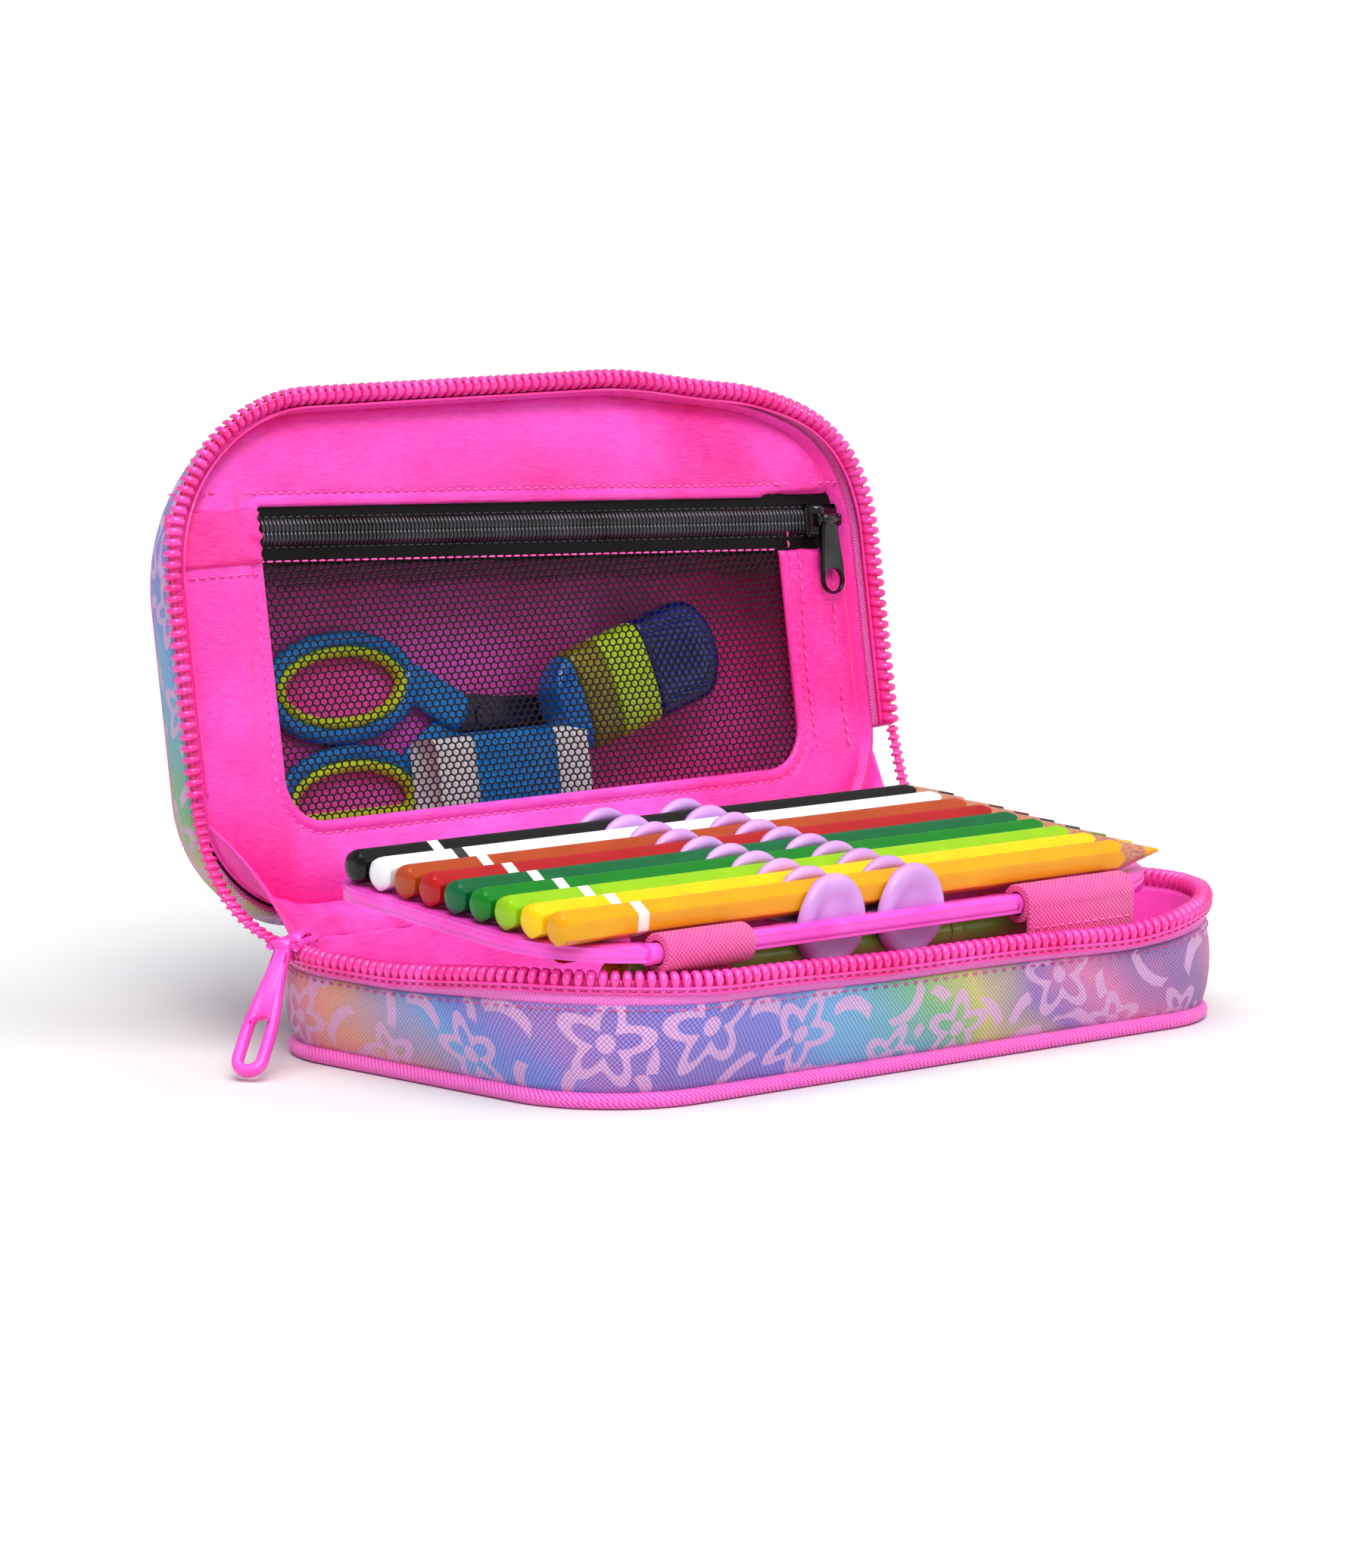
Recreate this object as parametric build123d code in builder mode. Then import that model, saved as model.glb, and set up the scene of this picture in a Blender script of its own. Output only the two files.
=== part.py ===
from build123d import *
from math import cos, hypot, radians, sin
import os

os.makedirs("parts", exist_ok=True)

# A zip-round pencil case, open and filled. Millimetres, +Z up. The origin is the middle of the
# tray's underside, +X runs along the case towards the pencil points and +Y towards the hinge.

# Tray outline, at its bottom seam and at its zip
bottom_length = 193
bottom_width = 117
bottom_corner = 27
rim_flare_length = 7
rim_flare_width = 6
rim_length = bottom_length + rim_flare_length
rim_width = bottom_width + rim_flare_width
rim_corner = 39
rim_height = 24.2

# Fabric
wall = 1.6
lining = 0.8
fabric_gap = 0.3
seam_gap = 0.1
piping_diameter = 4
board = 2
gusset_setback = 1

# Zip round the rim
coil_width = 2.6
coil_height = 2.6
coil_round = 0.8
tape_height = 2.6
tape_thickness = 1
tape_setback = 0.2
zip_end = 43.5

# Lid outline, at its zip and at its far face, with u along the case and v up the lid
lid_length = 208
lid_height = 116
lid_shift = 2
lid_top_corner = 43
lid_low_corner = 30
lid_foot = 1
lid_depth = 26
lid_side_draft = 12.5
lid_top_draft = 6
lid_low_draft = 1
lid_corner_draft = 3
lid_tape_height = 3.2
lid_lining_start = 4
lid_lining_set = 4.8
lid_lean = 9
lid_zip_start = 28.5
hinge_setback = 1.5
hinge_y = rim_width / 2 - hinge_setback
rim_gap = 0.3

# Hinge strip
strip_length = 132
strip_height = 11
strip_setback = 0.9
strip_thickness = 0.8
flap_foot = 0.5
flap_thickness = 1.2
flap_start = 0.6
flap_overlap = 0.6

# Pocket in the lid
pocket_depth = 6.5
pocket_fabric = 0.8
pocket_setback = 3.9
pocket_net = 0.5
window_left = -72
window_right = 80
window_low = 22
window_corner = 10
shelf_height = 19.6
shelf_left = -82
shelf_right = 84
pocket_zip_left = -72.5
pocket_zip_right = 97.6
pocket_zip_drop = 31.7
pocket_zip_fall = 7.4
pocket_zip_high = lid_foot + lid_height - pocket_zip_drop
pocket_zip_low = pocket_zip_high - pocket_zip_fall
pocket_tape_width = 12.4
tape_tuck = 2
tape_short = 1.6
chain_width = 5
chain_height = 1.5
net_pitch = 6
net_row = 4.7
net_hole = 2.1
net_border = 3
tab_length = 16
tab_height = 12

# Pocket slider and its pull
small_slider_length = 9
small_slider_width = 7.4
small_slider_place = 92.8
small_slider_top = 1.2
small_pin = 0.8
small_ear = 1
small_eye = 1.5
small_eye_width = 4.6
small_pull_length = 17.5
small_pull_width = 7
small_pull_thickness = 1.2
small_pull_hole = 5.2

# Main slider, on the rim's back left corner, and its pull
slider_angle = 152
slider_sweep = 15
slider_plate = 1.1
slider_flange = 1.1
slider_drop = 2.6
slider_clearance = 0.35
horn_width = 7.4
horn_reach = 8
pull_heading = 210
pull_drop = 46
pull_length = 33
pull_top_width = 4
pull_end_width = 8
pull_thickness = 2.2
pull_slot_width = 3
pull_slot_length = 12
pin_radius = 0.8
pin_clearance = 0.1
eye_radius = 1.9
eye_width = 3.8

# Page, hinged on its front bar
page_length = 179.5
page_left = -101
page_depth = 80
page_tilt = 5.5
page_front_corner = 28
page_back_corner = 13
page_border = 6
page_border_thickness = 3
page_web = 2
bar_radius = 2.2
bar_inset = 20
bar_setback = 7.3
bar_y = bar_setback - rim_width / 2
bar_height = 31.5
slot_length = 13
slot_width = 3
slot_pitch = 17.2
slots_each_side = 3

# Lobes that hold pencils above the page and markers below
column_places = (-27, -4)
lug_radius = 9.7
lug_thickness = 0.8
lug_round = 0.3
lug_count = 10
strip_margin = 0.6
column_gap = 0.25

# Pencils
pencil_length = 175
pencil_flats = 6.6
pencil_pitch = 7.95
pencil_left = -100
pencil_lift = 5.7
first_row = 6.8
pencil_dome = 2.6
pencil_flat = 1.2
cone_angle = 12.5
lead_radius = 1.45
lead_tip = 0.3
wood_cap = 1.5

# Markers
marker_radius = 3.2
marker_left = -78
marker_length = 88
marker_dome = 1.4
cap_length = 48
cap_wall = 0.5
neck_radius = 2.3
neck_length = 12
nib_length = 8
nib_radius = 1
cap_end = 4
marker_gap = 0.3
marker_hang = 5.6
loose_hang = 8.2

# Webbing loops on the front bar
left_webbing_width = 24
right_webbing_width = 32
webbing_thickness = 1.5
webbing_tail = 3.45
left_loop_centre = -66
right_loop_centre = 41
loop_clearance = 0.3
loop_side_gap = 0.4
loop_notch_gap = 0.5

# Things in the pocket
eraser_left = -33.5
eraser_length = 49
eraser_height = 16.6
eraser_thickness = 9.2
eraser_round = 1.6
sleeve_left = -18
sleeve_length = 24
sleeve_wall = 0.4
sleeve_clearance = 0.1
item_front = 8.4
sharpener_u = 36
sharpener_v = 47.5
sharpener_turn = 15
sharpener_length = 44
sharpener_height = 24
sharpener_thickness = 10
sharpener_corner = 9
sharpener_round = 2
nose_length = 8
tank_length = 10
collar_length = 10
sharpener_seam = 0.3
pivot_u = -3
pivot_v = 41
loop_u = -42
loop_offset = 10.9
loop_length = 42
loop_height = 20.6
loop_rim = 3
grip_wall = 1.6
handle_thickness = 3.4
blade_thickness = 1.1
blade_gap = 0.3
blade_length = 58
blade_width = 8
blade_tip = 2
blade_bend_share = 0.5
hub_radius = 5.5
rivet_radius = 1.6
rivet_head = 2.6
rivet_clearance = 0.06
rivet_head_height = 0.5

# The settled tray, lid and page planes
piping_radius = piping_diameter / 2
coil_bottom = rim_height - coil_height
tape_bottom = coil_bottom - tape_height
gusset_bottom = piping_diameter + seam_gap
floor_bottom = board + seam_gap
floor_top = floor_bottom + lining
liner_top = coil_bottom - 2 * fabric_gap
hinge_z = rim_height + rim_gap / 2
lean = radians(lid_lean)
tilt = radians(page_tilt)

# w = 0 of the lid plane is its zip face, and its normal looks out of the lid
lid_plane = Plane(
    origin=(0, hinge_y, hinge_z),
    x_dir=(1, 0, 0),
    z_dir=(0, -cos(lean), sin(lean)),
).offset(-rim_gap / 2)
page_plane = Plane(
    origin=(0, bar_y, bar_height), x_dir=(1, 0, 0), z_dir=(0, -sin(tilt), cos(tilt))
)


# The tray's outline at a height, drawn in by an inset
def tray_outline(height, inset):
    share = (height - gusset_bottom) / (rim_height - gusset_bottom)
    length = bottom_length - 2 * gusset_setback
    width = bottom_width - 2 * gusset_setback
    corner = bottom_corner - gusset_setback
    length += (rim_length - length) * share
    width += (rim_width - width) * share
    corner += (rim_corner - corner) * share
    RectangleRounded(length - 2 * inset, width - 2 * inset, corner - inset)


# The lid's outline at a depth behind its zip, drawn in by an inset
def lid_outline(depth, inset):
    share = depth / lid_depth
    half = lid_length / 2 - lid_side_draft * share - inset
    low = lid_foot + lid_low_draft * share + inset
    high = lid_foot + lid_height - lid_top_draft * share - inset
    top_corner = lid_top_corner - lid_corner_draft * share - inset
    low_corner = lid_low_corner - lid_corner_draft * share - inset
    left = lid_shift - half
    right = lid_shift + half
    with BuildLine() as outline:
        FilletPolyline(
            (left, low),
            (right, low),
            (right, high),
            (left, high),
            close=True,
            radius=[low_corner, low_corner, top_corner, top_corner],
        )
    make_face(outline.edges())


def lid_at(depth):
    return lid_plane.offset(-depth)


# A point of the lid, by its place along, up and behind the zip face
def lid_point(along, up, depth):
    return lid_plane.from_local_coords((along, up, -depth))


# Tray: bottom, gusset, piping, zip and lining

with BuildPart() as base_panel:
    panel_inset = piping_diameter + seam_gap
    with BuildSketch(Plane.XY):
        RectangleRounded(
            bottom_length - 2 * panel_inset,
            bottom_width - 2 * panel_inset,
            bottom_corner - panel_inset,
        )
    extrude(amount=board)
base_panel.part.label = "base_panel"
export_step(base_panel.part, "parts/base_panel.step")

with BuildSketch(Plane.XY.offset(piping_radius)) as piping_track:
    RectangleRounded(
        bottom_length - piping_diameter,
        bottom_width - piping_diameter,
        bottom_corner - piping_radius,
    )
with BuildPart() as base_piping:
    track = piping_track.sketch.faces()[0].outer_wire()
    with BuildSketch(Plane(origin=track @ 0, z_dir=track % 0)):
        Circle(piping_radius)
    sweep(path=track)
base_piping.part.label = "base_piping"
export_step(base_piping.part, "parts/base_piping.step")

with BuildPart() as base_gusset:
    for inset, step in ((0, Mode.ADD), (wall, Mode.SUBTRACT)):
        for height in (gusset_bottom, tape_bottom):
            with BuildSketch(Plane.XY.offset(height)):
                tray_outline(height, inset)
        loft(mode=step)
base_gusset.part.label = "base_gusset"
export_step(base_gusset.part, "parts/base_gusset.step")

with BuildPart() as base_zip_tape:
    for inset, step in ((tape_setback, Mode.ADD), (tape_setback + tape_thickness, Mode.SUBTRACT)):
        for height in (tape_bottom, coil_bottom):
            with BuildSketch(Plane.XY.offset(height)):
                tray_outline(height, inset)
        loft(mode=step)
    with BuildSketch(Plane.XY.offset(tape_bottom)):
        with Locations((0, zip_end + rim_width / 2)):
            Rectangle(rim_length, rim_width)
    extrude(amount=tape_height, mode=Mode.SUBTRACT)
base_zip_tape.part.label = "base_zip_tape"
export_step(base_zip_tape.part, "parts/base_zip_tape.step")

with BuildPart() as base_zip_coil:
    with BuildSketch(Plane.XY.offset(coil_bottom)):
        RectangleRounded(rim_length, rim_width, rim_corner)
        RectangleRounded(
            rim_length - 2 * coil_width,
            rim_width - 2 * coil_width,
            rim_corner - coil_width,
            mode=Mode.SUBTRACT,
        )
        with Locations((0, zip_end + rim_width / 2)):
            Rectangle(rim_length, rim_width, mode=Mode.SUBTRACT)
    extrude(amount=coil_height)
    top_edges = base_zip_coil.faces().sort_by(Axis.Z)[-1].edges()
    long_edges = top_edges.filter_by(lambda edge: edge.length > 2 * coil_width)
    chamfer(long_edges, length=coil_round)
base_zip_coil.part.label = "base_zip_coil"
export_step(base_zip_coil.part, "parts/base_zip_coil.step")

liner_inset = piping_diameter + fabric_gap
with BuildPart() as base_lining:
    for inset, low, step in ((0, floor_bottom, Mode.ADD), (lining, floor_top, Mode.SUBTRACT)):
        with BuildSketch(Plane.XY.offset(low)):
            RectangleRounded(
                bottom_length - 2 * liner_inset - 2 * inset,
                bottom_width - 2 * liner_inset - 2 * inset,
                bottom_corner - liner_inset - inset,
            )
        with BuildSketch(Plane.XY.offset(liner_top)):
            tray_outline(liner_top, wall + fabric_gap + inset)
        loft(mode=step)
base_lining.part.label = "base_lining"
export_step(base_lining.part, "parts/base_lining.step")

with BuildPart() as hinge_strip:
    with BuildSketch(Plane.XY.offset(rim_height - strip_height)):
        with Locations((0, hinge_y + strip_setback + strip_thickness / 2)):
            Rectangle(strip_length, strip_thickness)
    extrude(amount=strip_height)
hinge_strip.part.label = "hinge_strip"
export_step(hinge_strip.part, "parts/hinge_strip.step")

# Lid shell, the same build turned up on its hinge

lid_seam = lid_depth - piping_radius
lid_gusset_end = lid_depth - piping_diameter - seam_gap
lid_gusset_start = coil_height + lid_tape_height
lid_board_face = lid_depth - board
lid_floor = lid_board_face - seam_gap - lining

with BuildPart() as lid_panel:
    with BuildSketch(lid_at(lid_depth)):
        lid_outline(lid_depth, piping_diameter + seam_gap)
    extrude(amount=board)
lid_panel.part.label = "lid_panel"
export_step(lid_panel.part, "parts/lid_panel.step")

with BuildSketch(lid_at(lid_seam)) as lid_track_face:
    lid_outline(lid_depth, piping_radius)
with BuildPart() as lid_piping:
    lid_track = lid_track_face.sketch.faces()[0].outer_wire()
    with BuildSketch(Plane(origin=lid_track @ 0, z_dir=lid_track % 0)):
        Circle(piping_radius)
    sweep(path=lid_track)
lid_piping.part.label = "lid_piping"
export_step(lid_piping.part, "parts/lid_piping.step")

with BuildPart() as lid_gusset:
    for inset, step in ((0, Mode.ADD), (wall, Mode.SUBTRACT)):
        for depth in (lid_gusset_end, lid_gusset_start):
            with BuildSketch(lid_at(depth)):
                lid_outline(depth, inset)
        loft(mode=step)
    with BuildSketch(lid_at(lid_gusset_start + flap_overlap)):
        with Locations((0, flap_foot + flap_thickness / 2)):
            Rectangle(strip_length, flap_thickness)
    extrude(amount=lid_gusset_start + flap_overlap - flap_start)
lid_gusset.part.label = "lid_gusset"
export_step(lid_gusset.part, "parts/lid_gusset.step")

with BuildPart() as lid_zip_tape:
    for inset, step in ((tape_setback, Mode.ADD), (tape_setback + tape_thickness, Mode.SUBTRACT)):
        for depth in (lid_gusset_start, coil_height):
            with BuildSketch(lid_at(depth)):
                lid_outline(depth, inset)
        loft(mode=step)
    with BuildSketch(lid_at(lid_gusset_start)):
        with Locations((lid_shift, lid_foot)):
            Rectangle(lid_length, 2 * (lid_zip_start - lid_foot))
    extrude(amount=lid_gusset_start, mode=Mode.SUBTRACT)
lid_zip_tape.part.label = "lid_zip_tape"
export_step(lid_zip_tape.part, "parts/lid_zip_tape.step")

with BuildPart() as lid_zip_coil:
    with BuildSketch(lid_at(coil_height)):
        lid_outline(0, 0)
    extrude(amount=coil_height)
    with BuildSketch(lid_at(coil_height)):
        lid_outline(0, coil_width)
    extrude(amount=coil_height, mode=Mode.SUBTRACT)
    with BuildSketch(lid_at(coil_height)):
        with Locations((lid_shift, lid_foot)):
            Rectangle(lid_length, 2 * (lid_zip_start - lid_foot))
    extrude(amount=coil_height, mode=Mode.SUBTRACT)
lid_zip_coil.part.label = "lid_zip_coil"
export_step(lid_zip_coil.part, "parts/lid_zip_coil.step")

with BuildPart() as lid_lining:
    for inset, far, step in (
        (0, lid_board_face - seam_gap, Mode.ADD),
        (lining, lid_floor, Mode.SUBTRACT),
    ):
        with BuildSketch(lid_at(far)):
            lid_outline(lid_depth, lid_lining_set + inset)
        with BuildSketch(lid_at(lid_lining_start)):
            lid_outline(lid_lining_start, wall + fabric_gap + inset)
        loft(mode=step)
lid_lining.part.label = "lid_lining"
export_step(lid_lining.part, "parts/lid_lining.step")

# Pocket: panel with its window and shelf, net, black zip and end tab

panel_back = pocket_depth + pocket_fabric
net_front = panel_back + seam_gap
net_back = net_front + pocket_net
zip_run = pocket_zip_right - pocket_zip_left
zip_fall = pocket_zip_high - pocket_zip_low
zip_length = hypot(zip_run, zip_fall)
zip_turn = -Vector(zip_run, zip_fall).get_angle(Vector(1, 0))
zip_mid = (
    (pocket_zip_left + pocket_zip_right) / 2,
    (pocket_zip_high + pocket_zip_low) / 2,
)
zip_plane = Plane(
    origin=lid_point(*zip_mid, 0),
    x_dir=lid_plane.x_dir.rotate(Axis((0, 0, 0), lid_plane.z_dir), zip_turn),
    z_dir=lid_plane.z_dir,
)
window_top = zip_mid[1]


# The window below the zip, up to the zip's own line
def window_outline(margin):
    corner = window_corner + margin
    left = window_left - margin
    right = window_right + margin
    low = window_low - margin
    with BuildLine() as outline:
        FilletPolyline(
            (left, window_top + zip_fall / 2),
            (left, low),
            (right, low),
            (right, window_top - zip_fall / 2),
            close=True,
            radius=[0, corner, corner, 0],
        )
    make_face(outline.edges())


with BuildPart() as pocket_panel:
    with BuildSketch(lid_at(panel_back)):
        lid_outline(panel_back, pocket_setback)
    extrude(amount=pocket_fabric)
    with BuildSketch(lid_at(panel_back)):
        window_outline(0)
    extrude(amount=pocket_fabric, mode=Mode.SUBTRACT)
    with BuildSketch(zip_plane.offset(-panel_back)):
        Rectangle(zip_length, pocket_tape_width)
    extrude(amount=pocket_fabric, mode=Mode.SUBTRACT)
    with BuildSketch(lid_at(lid_floor - fabric_gap)):
        with Locations(((shelf_left + shelf_right) / 2, shelf_height - pocket_fabric / 2)):
            Rectangle(shelf_right - shelf_left, pocket_fabric)
    extrude(amount=lid_floor - fabric_gap - panel_back)
pocket_panel.part.label = "pocket_panel"
export_step(pocket_panel.part, "parts/pocket_panel.step")

with BuildPart() as pocket_mesh:
    with BuildSketch(lid_at(net_back)):
        window_outline(tape_tuck - fabric_gap)
        with Locations(Plane(origin=(*zip_mid, 0)).rotated((0, 0, zip_turn))):
            Rectangle(
                zip_length + 2 * tape_tuck + window_corner,
                pocket_tape_width + 2 * tape_tuck + 2 * seam_gap,
                mode=Mode.SUBTRACT,
            )
        net_width = window_right - window_left - net_border
        net_tall = window_top - zip_fall - pocket_tape_width / 2 - tape_tuck - window_low - net_border
        columns = int(net_width / net_pitch)
        rows = int(net_tall / net_row)
        net_centre = ((window_left + window_right) / 2, window_low + net_border / 2 + net_tall / 2)
        with Locations(net_centre):
            with GridLocations(net_pitch, net_row, columns, rows):
                RegularPolygon(net_hole, 6, mode=Mode.SUBTRACT)
    extrude(amount=pocket_net)
pocket_mesh.part.label = "pocket_mesh"
export_step(pocket_mesh.part, "parts/pocket_mesh.step")

with BuildPart() as pocket_zip_tape:
    with BuildSketch(zip_plane.offset(-net_back)):
        with Locations((-(tape_tuck + tape_short) / 2, 0)):
            Rectangle(zip_length + tape_tuck - tape_short, pocket_tape_width + 2 * tape_tuck)
    extrude(amount=pocket_net)
pocket_zip_tape.part.label = "pocket_zip_tape"
export_step(pocket_zip_tape.part, "parts/pocket_zip_tape.step")

with BuildPart() as pocket_zip_coil:
    with BuildSketch(zip_plane.offset(-net_front)):
        Rectangle(zip_length - 2 * fabric_gap, chain_width)
    extrude(amount=chain_height)
    crown = pocket_zip_coil.faces().sort_by(Axis.Y)[0].edges().filter_by(lambda e: e.length > chain_width)
    chamfer(crown, length=coil_round / 2)
pocket_zip_coil.part.label = "pocket_zip_coil"
export_step(pocket_zip_coil.part, "parts/pocket_zip_coil.step")

with BuildPart() as pocket_end_tab:
    with BuildSketch(lid_at(pocket_depth - seam_gap)):
        with Locations((pocket_zip_left - tab_length / 2, pocket_zip_high)):
            RectangleRounded(tab_length, tab_height, coil_round)
    extrude(amount=pocket_fabric)
pocket_end_tab.part.label = "pocket_end_tab"
export_step(pocket_end_tab.part, "parts/pocket_end_tab.step")

# Pocket slider: a saddle on the chain with two ears, and a pull on the pin between them

slider_offset = (small_slider_place - zip_mid[0]) / cos(radians(zip_turn))
chain_front = net_front - chain_height
saddle_front = chain_front - fabric_gap - small_slider_top
pin_depth = saddle_front - small_eye - fabric_gap
with BuildPart() as pocket_slider:
    with BuildSketch(zip_plane.offset(-(net_front - fabric_gap))):
        with Locations((slider_offset, 0)):
            RectangleRounded(small_slider_length, small_slider_width, small_ear)
    extrude(amount=net_front - fabric_gap - saddle_front)
    with BuildSketch(zip_plane.offset(-net_front)):
        with Locations((slider_offset, 0)):
            Rectangle(small_slider_length, chain_width + 2 * fabric_gap)
    extrude(amount=chain_height + fabric_gap, mode=Mode.SUBTRACT)
    with BuildSketch(zip_plane.offset(-saddle_front)):
        for side in (-1, 1):
            with Locations(
                (slider_offset + side * (small_eye_width / 2 + fabric_gap + small_ear / 2), 0)
            ):
                Rectangle(small_ear, 2 * small_eye)
    extrude(amount=saddle_front - pin_depth + small_pin + fabric_gap)
    pin_plane = Plane(
        origin=zip_plane.from_local_coords(
            (slider_offset - small_eye_width / 2 - fabric_gap, 0, -pin_depth)
        ),
        z_dir=zip_plane.x_dir,
    )
    with BuildSketch(pin_plane):
        Circle(small_pin)
    extrude(amount=small_eye_width + 2 * fabric_gap)
pocket_slider.part.label = "pocket_slider"
export_step(pocket_slider.part, "parts/pocket_slider.step")

with BuildPart() as pocket_pull:
    eye_plane = Plane(
        origin=zip_plane.from_local_coords((slider_offset - small_eye_width / 2, 0, -pin_depth)),
        z_dir=zip_plane.x_dir,
    )
    with BuildSketch(eye_plane):
        Circle(small_eye)
    extrude(amount=small_eye_width)
    pull_face = zip_plane.offset(-pin_depth - small_pull_thickness / 2)
    with BuildSketch(pull_face):
        with BuildLine():
            half_top = small_eye_width / 2
            half_end = small_pull_width / 2
            low = -small_pull_length + half_end
            Polyline(
                (slider_offset - half_end, low),
                (slider_offset - half_top, 0),
                (slider_offset + half_top, 0),
                (slider_offset + half_end, low),
            )
            ThreePointArc(
                (slider_offset + half_end, low),
                (slider_offset, -small_pull_length),
                (slider_offset - half_end, low),
            )
        make_face()
        with Locations((slider_offset, low)):
            Circle(small_pull_hole / 2, mode=Mode.SUBTRACT)
    extrude(amount=small_pull_thickness)
    with BuildSketch(eye_plane.offset(-fabric_gap)):
        Circle(small_pin + pin_clearance)
    extrude(amount=small_eye_width + 2 * fabric_gap, mode=Mode.SUBTRACT)
pocket_pull.part.label = "pocket_pull"
export_step(pocket_pull.part, "parts/pocket_pull.step")

# Main slider: a saddle turned round the rim's back left corner, with a horn for the pull

corner_x = -(rim_length / 2 - rim_corner)
corner_y = rim_width / 2 - rim_corner
coil_middle = rim_corner - coil_width / 2
middle_x = corner_x + coil_middle * cos(radians(slider_angle))
middle_y = corner_y + coil_middle * sin(radians(slider_angle))
saddle_top = rim_height + slider_clearance + slider_plate
pin_z = saddle_top - slider_plate / 2
heading = Vector(cos(radians(pull_heading)), sin(radians(pull_heading)), 0)
pin_point = Vector(middle_x, middle_y, pin_z) + heading * horn_reach
pin_axis = Vector(-heading.Y, heading.X, 0)

with BuildPart() as main_slider:
    turn_plane = Plane(
        origin=(corner_x, corner_y, 0),
        x_dir=(
            cos(radians(slider_angle - slider_sweep / 2)),
            sin(radians(slider_angle - slider_sweep / 2)),
            0,
        ),
        z_dir=(
            sin(radians(slider_angle - slider_sweep / 2)),
            -cos(radians(slider_angle - slider_sweep / 2)),
            0,
        ),
    )
    inner = rim_corner - coil_width - slider_clearance
    outer = rim_corner + slider_clearance
    with BuildSketch(turn_plane):
        with BuildLine():
            Polyline(
                (inner - slider_flange, rim_height - slider_drop),
                (inner, rim_height - slider_drop),
                (inner, rim_height + slider_clearance),
                (outer, rim_height + slider_clearance),
                (outer, rim_height - slider_drop),
                (outer + slider_flange, rim_height - slider_drop),
                (outer + slider_flange, saddle_top),
                (inner - slider_flange, saddle_top),
                close=True,
            )
        make_face()
    revolve(axis=Axis((corner_x, corner_y, 0), (0, 0, 1)), revolution_arc=slider_sweep)
    horn_plane = Plane(
        origin=(middle_x, middle_y, rim_height + slider_clearance),
        x_dir=heading,
        z_dir=(0, 0, 1),
    )
    slot = eye_width + 2 * fabric_gap
    with BuildSketch(horn_plane):
        with Locations(((horn_reach + pin_radius) / 2, 0)):
            Rectangle(horn_reach + pin_radius, horn_width)
        with Locations((horn_reach, 0)):
            Rectangle(2 * (eye_radius + fabric_gap), slot, mode=Mode.SUBTRACT)
    extrude(amount=slider_plate)
    pin_start = pin_point - pin_axis * (horn_width / 2)
    with BuildSketch(Plane(origin=pin_start, z_dir=pin_axis)):
        Circle(pin_radius)
    extrude(amount=horn_width)
main_slider.part.label = "main_slider"
export_step(main_slider.part, "parts/main_slider.step")

with BuildPart() as main_pull:
    drop = radians(pull_drop)
    down = heading * cos(drop) + Vector(0, 0, -sin(drop))
    tongue_plane = Plane(origin=pin_point, x_dir=pin_axis, z_dir=pin_axis.cross(down))
    with BuildSketch(tongue_plane.offset(-pull_thickness / 2)):
        with BuildLine():
            half_top = pull_top_width / 2 - fabric_gap / 2
            half_end = pull_end_width / 2
            end_centre = pull_length - half_end
            Polyline((-half_end, end_centre), (-half_top, 0), (half_top, 0), (half_end, end_centre))
            ThreePointArc((half_end, end_centre), (0, pull_length), (-half_end, end_centre))
        make_face()
        with Locations((0, end_centre - pull_slot_length / 2 + pull_slot_width / 2)):
            SlotOverall(pull_slot_length, pull_slot_width, rotation=90, mode=Mode.SUBTRACT)
    extrude(amount=pull_thickness)
    eye_start = pin_point - pin_axis * (eye_width / 2)
    with BuildSketch(Plane(origin=eye_start, z_dir=pin_axis)):
        Circle(eye_radius)
    extrude(amount=eye_width)
    with BuildSketch(Plane(origin=eye_start, z_dir=pin_axis).offset(-fabric_gap)):
        Circle(pin_radius + pin_clearance)
    extrude(amount=eye_width + 2 * fabric_gap, mode=Mode.SUBTRACT)
main_pull.part.label = "main_pull"
export_step(main_pull.part, "parts/main_pull.step")

# Page: frame, slotted web and front bar, and two columns of lobes

row_places = [first_row + pencil_pitch * row for row in range(lug_count - 1)]
lug_places = [first_row + pencil_pitch * (row - 0.5) for row in range(lug_count)]
loops = (
    ("left", left_loop_centre, left_webbing_width, 1),
    ("right", right_loop_centre, right_webbing_width, -1),
)
page_front = -bar_radius
loop_inner = bar_radius + loop_clearance
loop_outer = loop_inner + webbing_thickness
page_back = page_front + page_depth + bar_radius
page_right = page_left + page_length
page_middle = (page_left + page_right) / 2
column_low = lug_places[0] - lug_thickness / 2 - column_gap
column_high = lug_places[-1] + lug_thickness / 2 + column_gap
column_half = lug_radius + strip_margin


def page_outline(inset, step):
    front = page_front + inset
    back = page_back - inset
    left = page_left + inset
    right = page_right - inset
    with BuildLine() as outline:
        FilletPolyline(
            (left, front),
            (right, front),
            (right, back),
            (left, back),
            close=True,
            radius=[
                page_front_corner - inset,
                page_front_corner - inset,
                page_back_corner - inset,
                page_back_corner - inset,
            ],
        )
    make_face(outline.edges(), mode=step)


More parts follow.
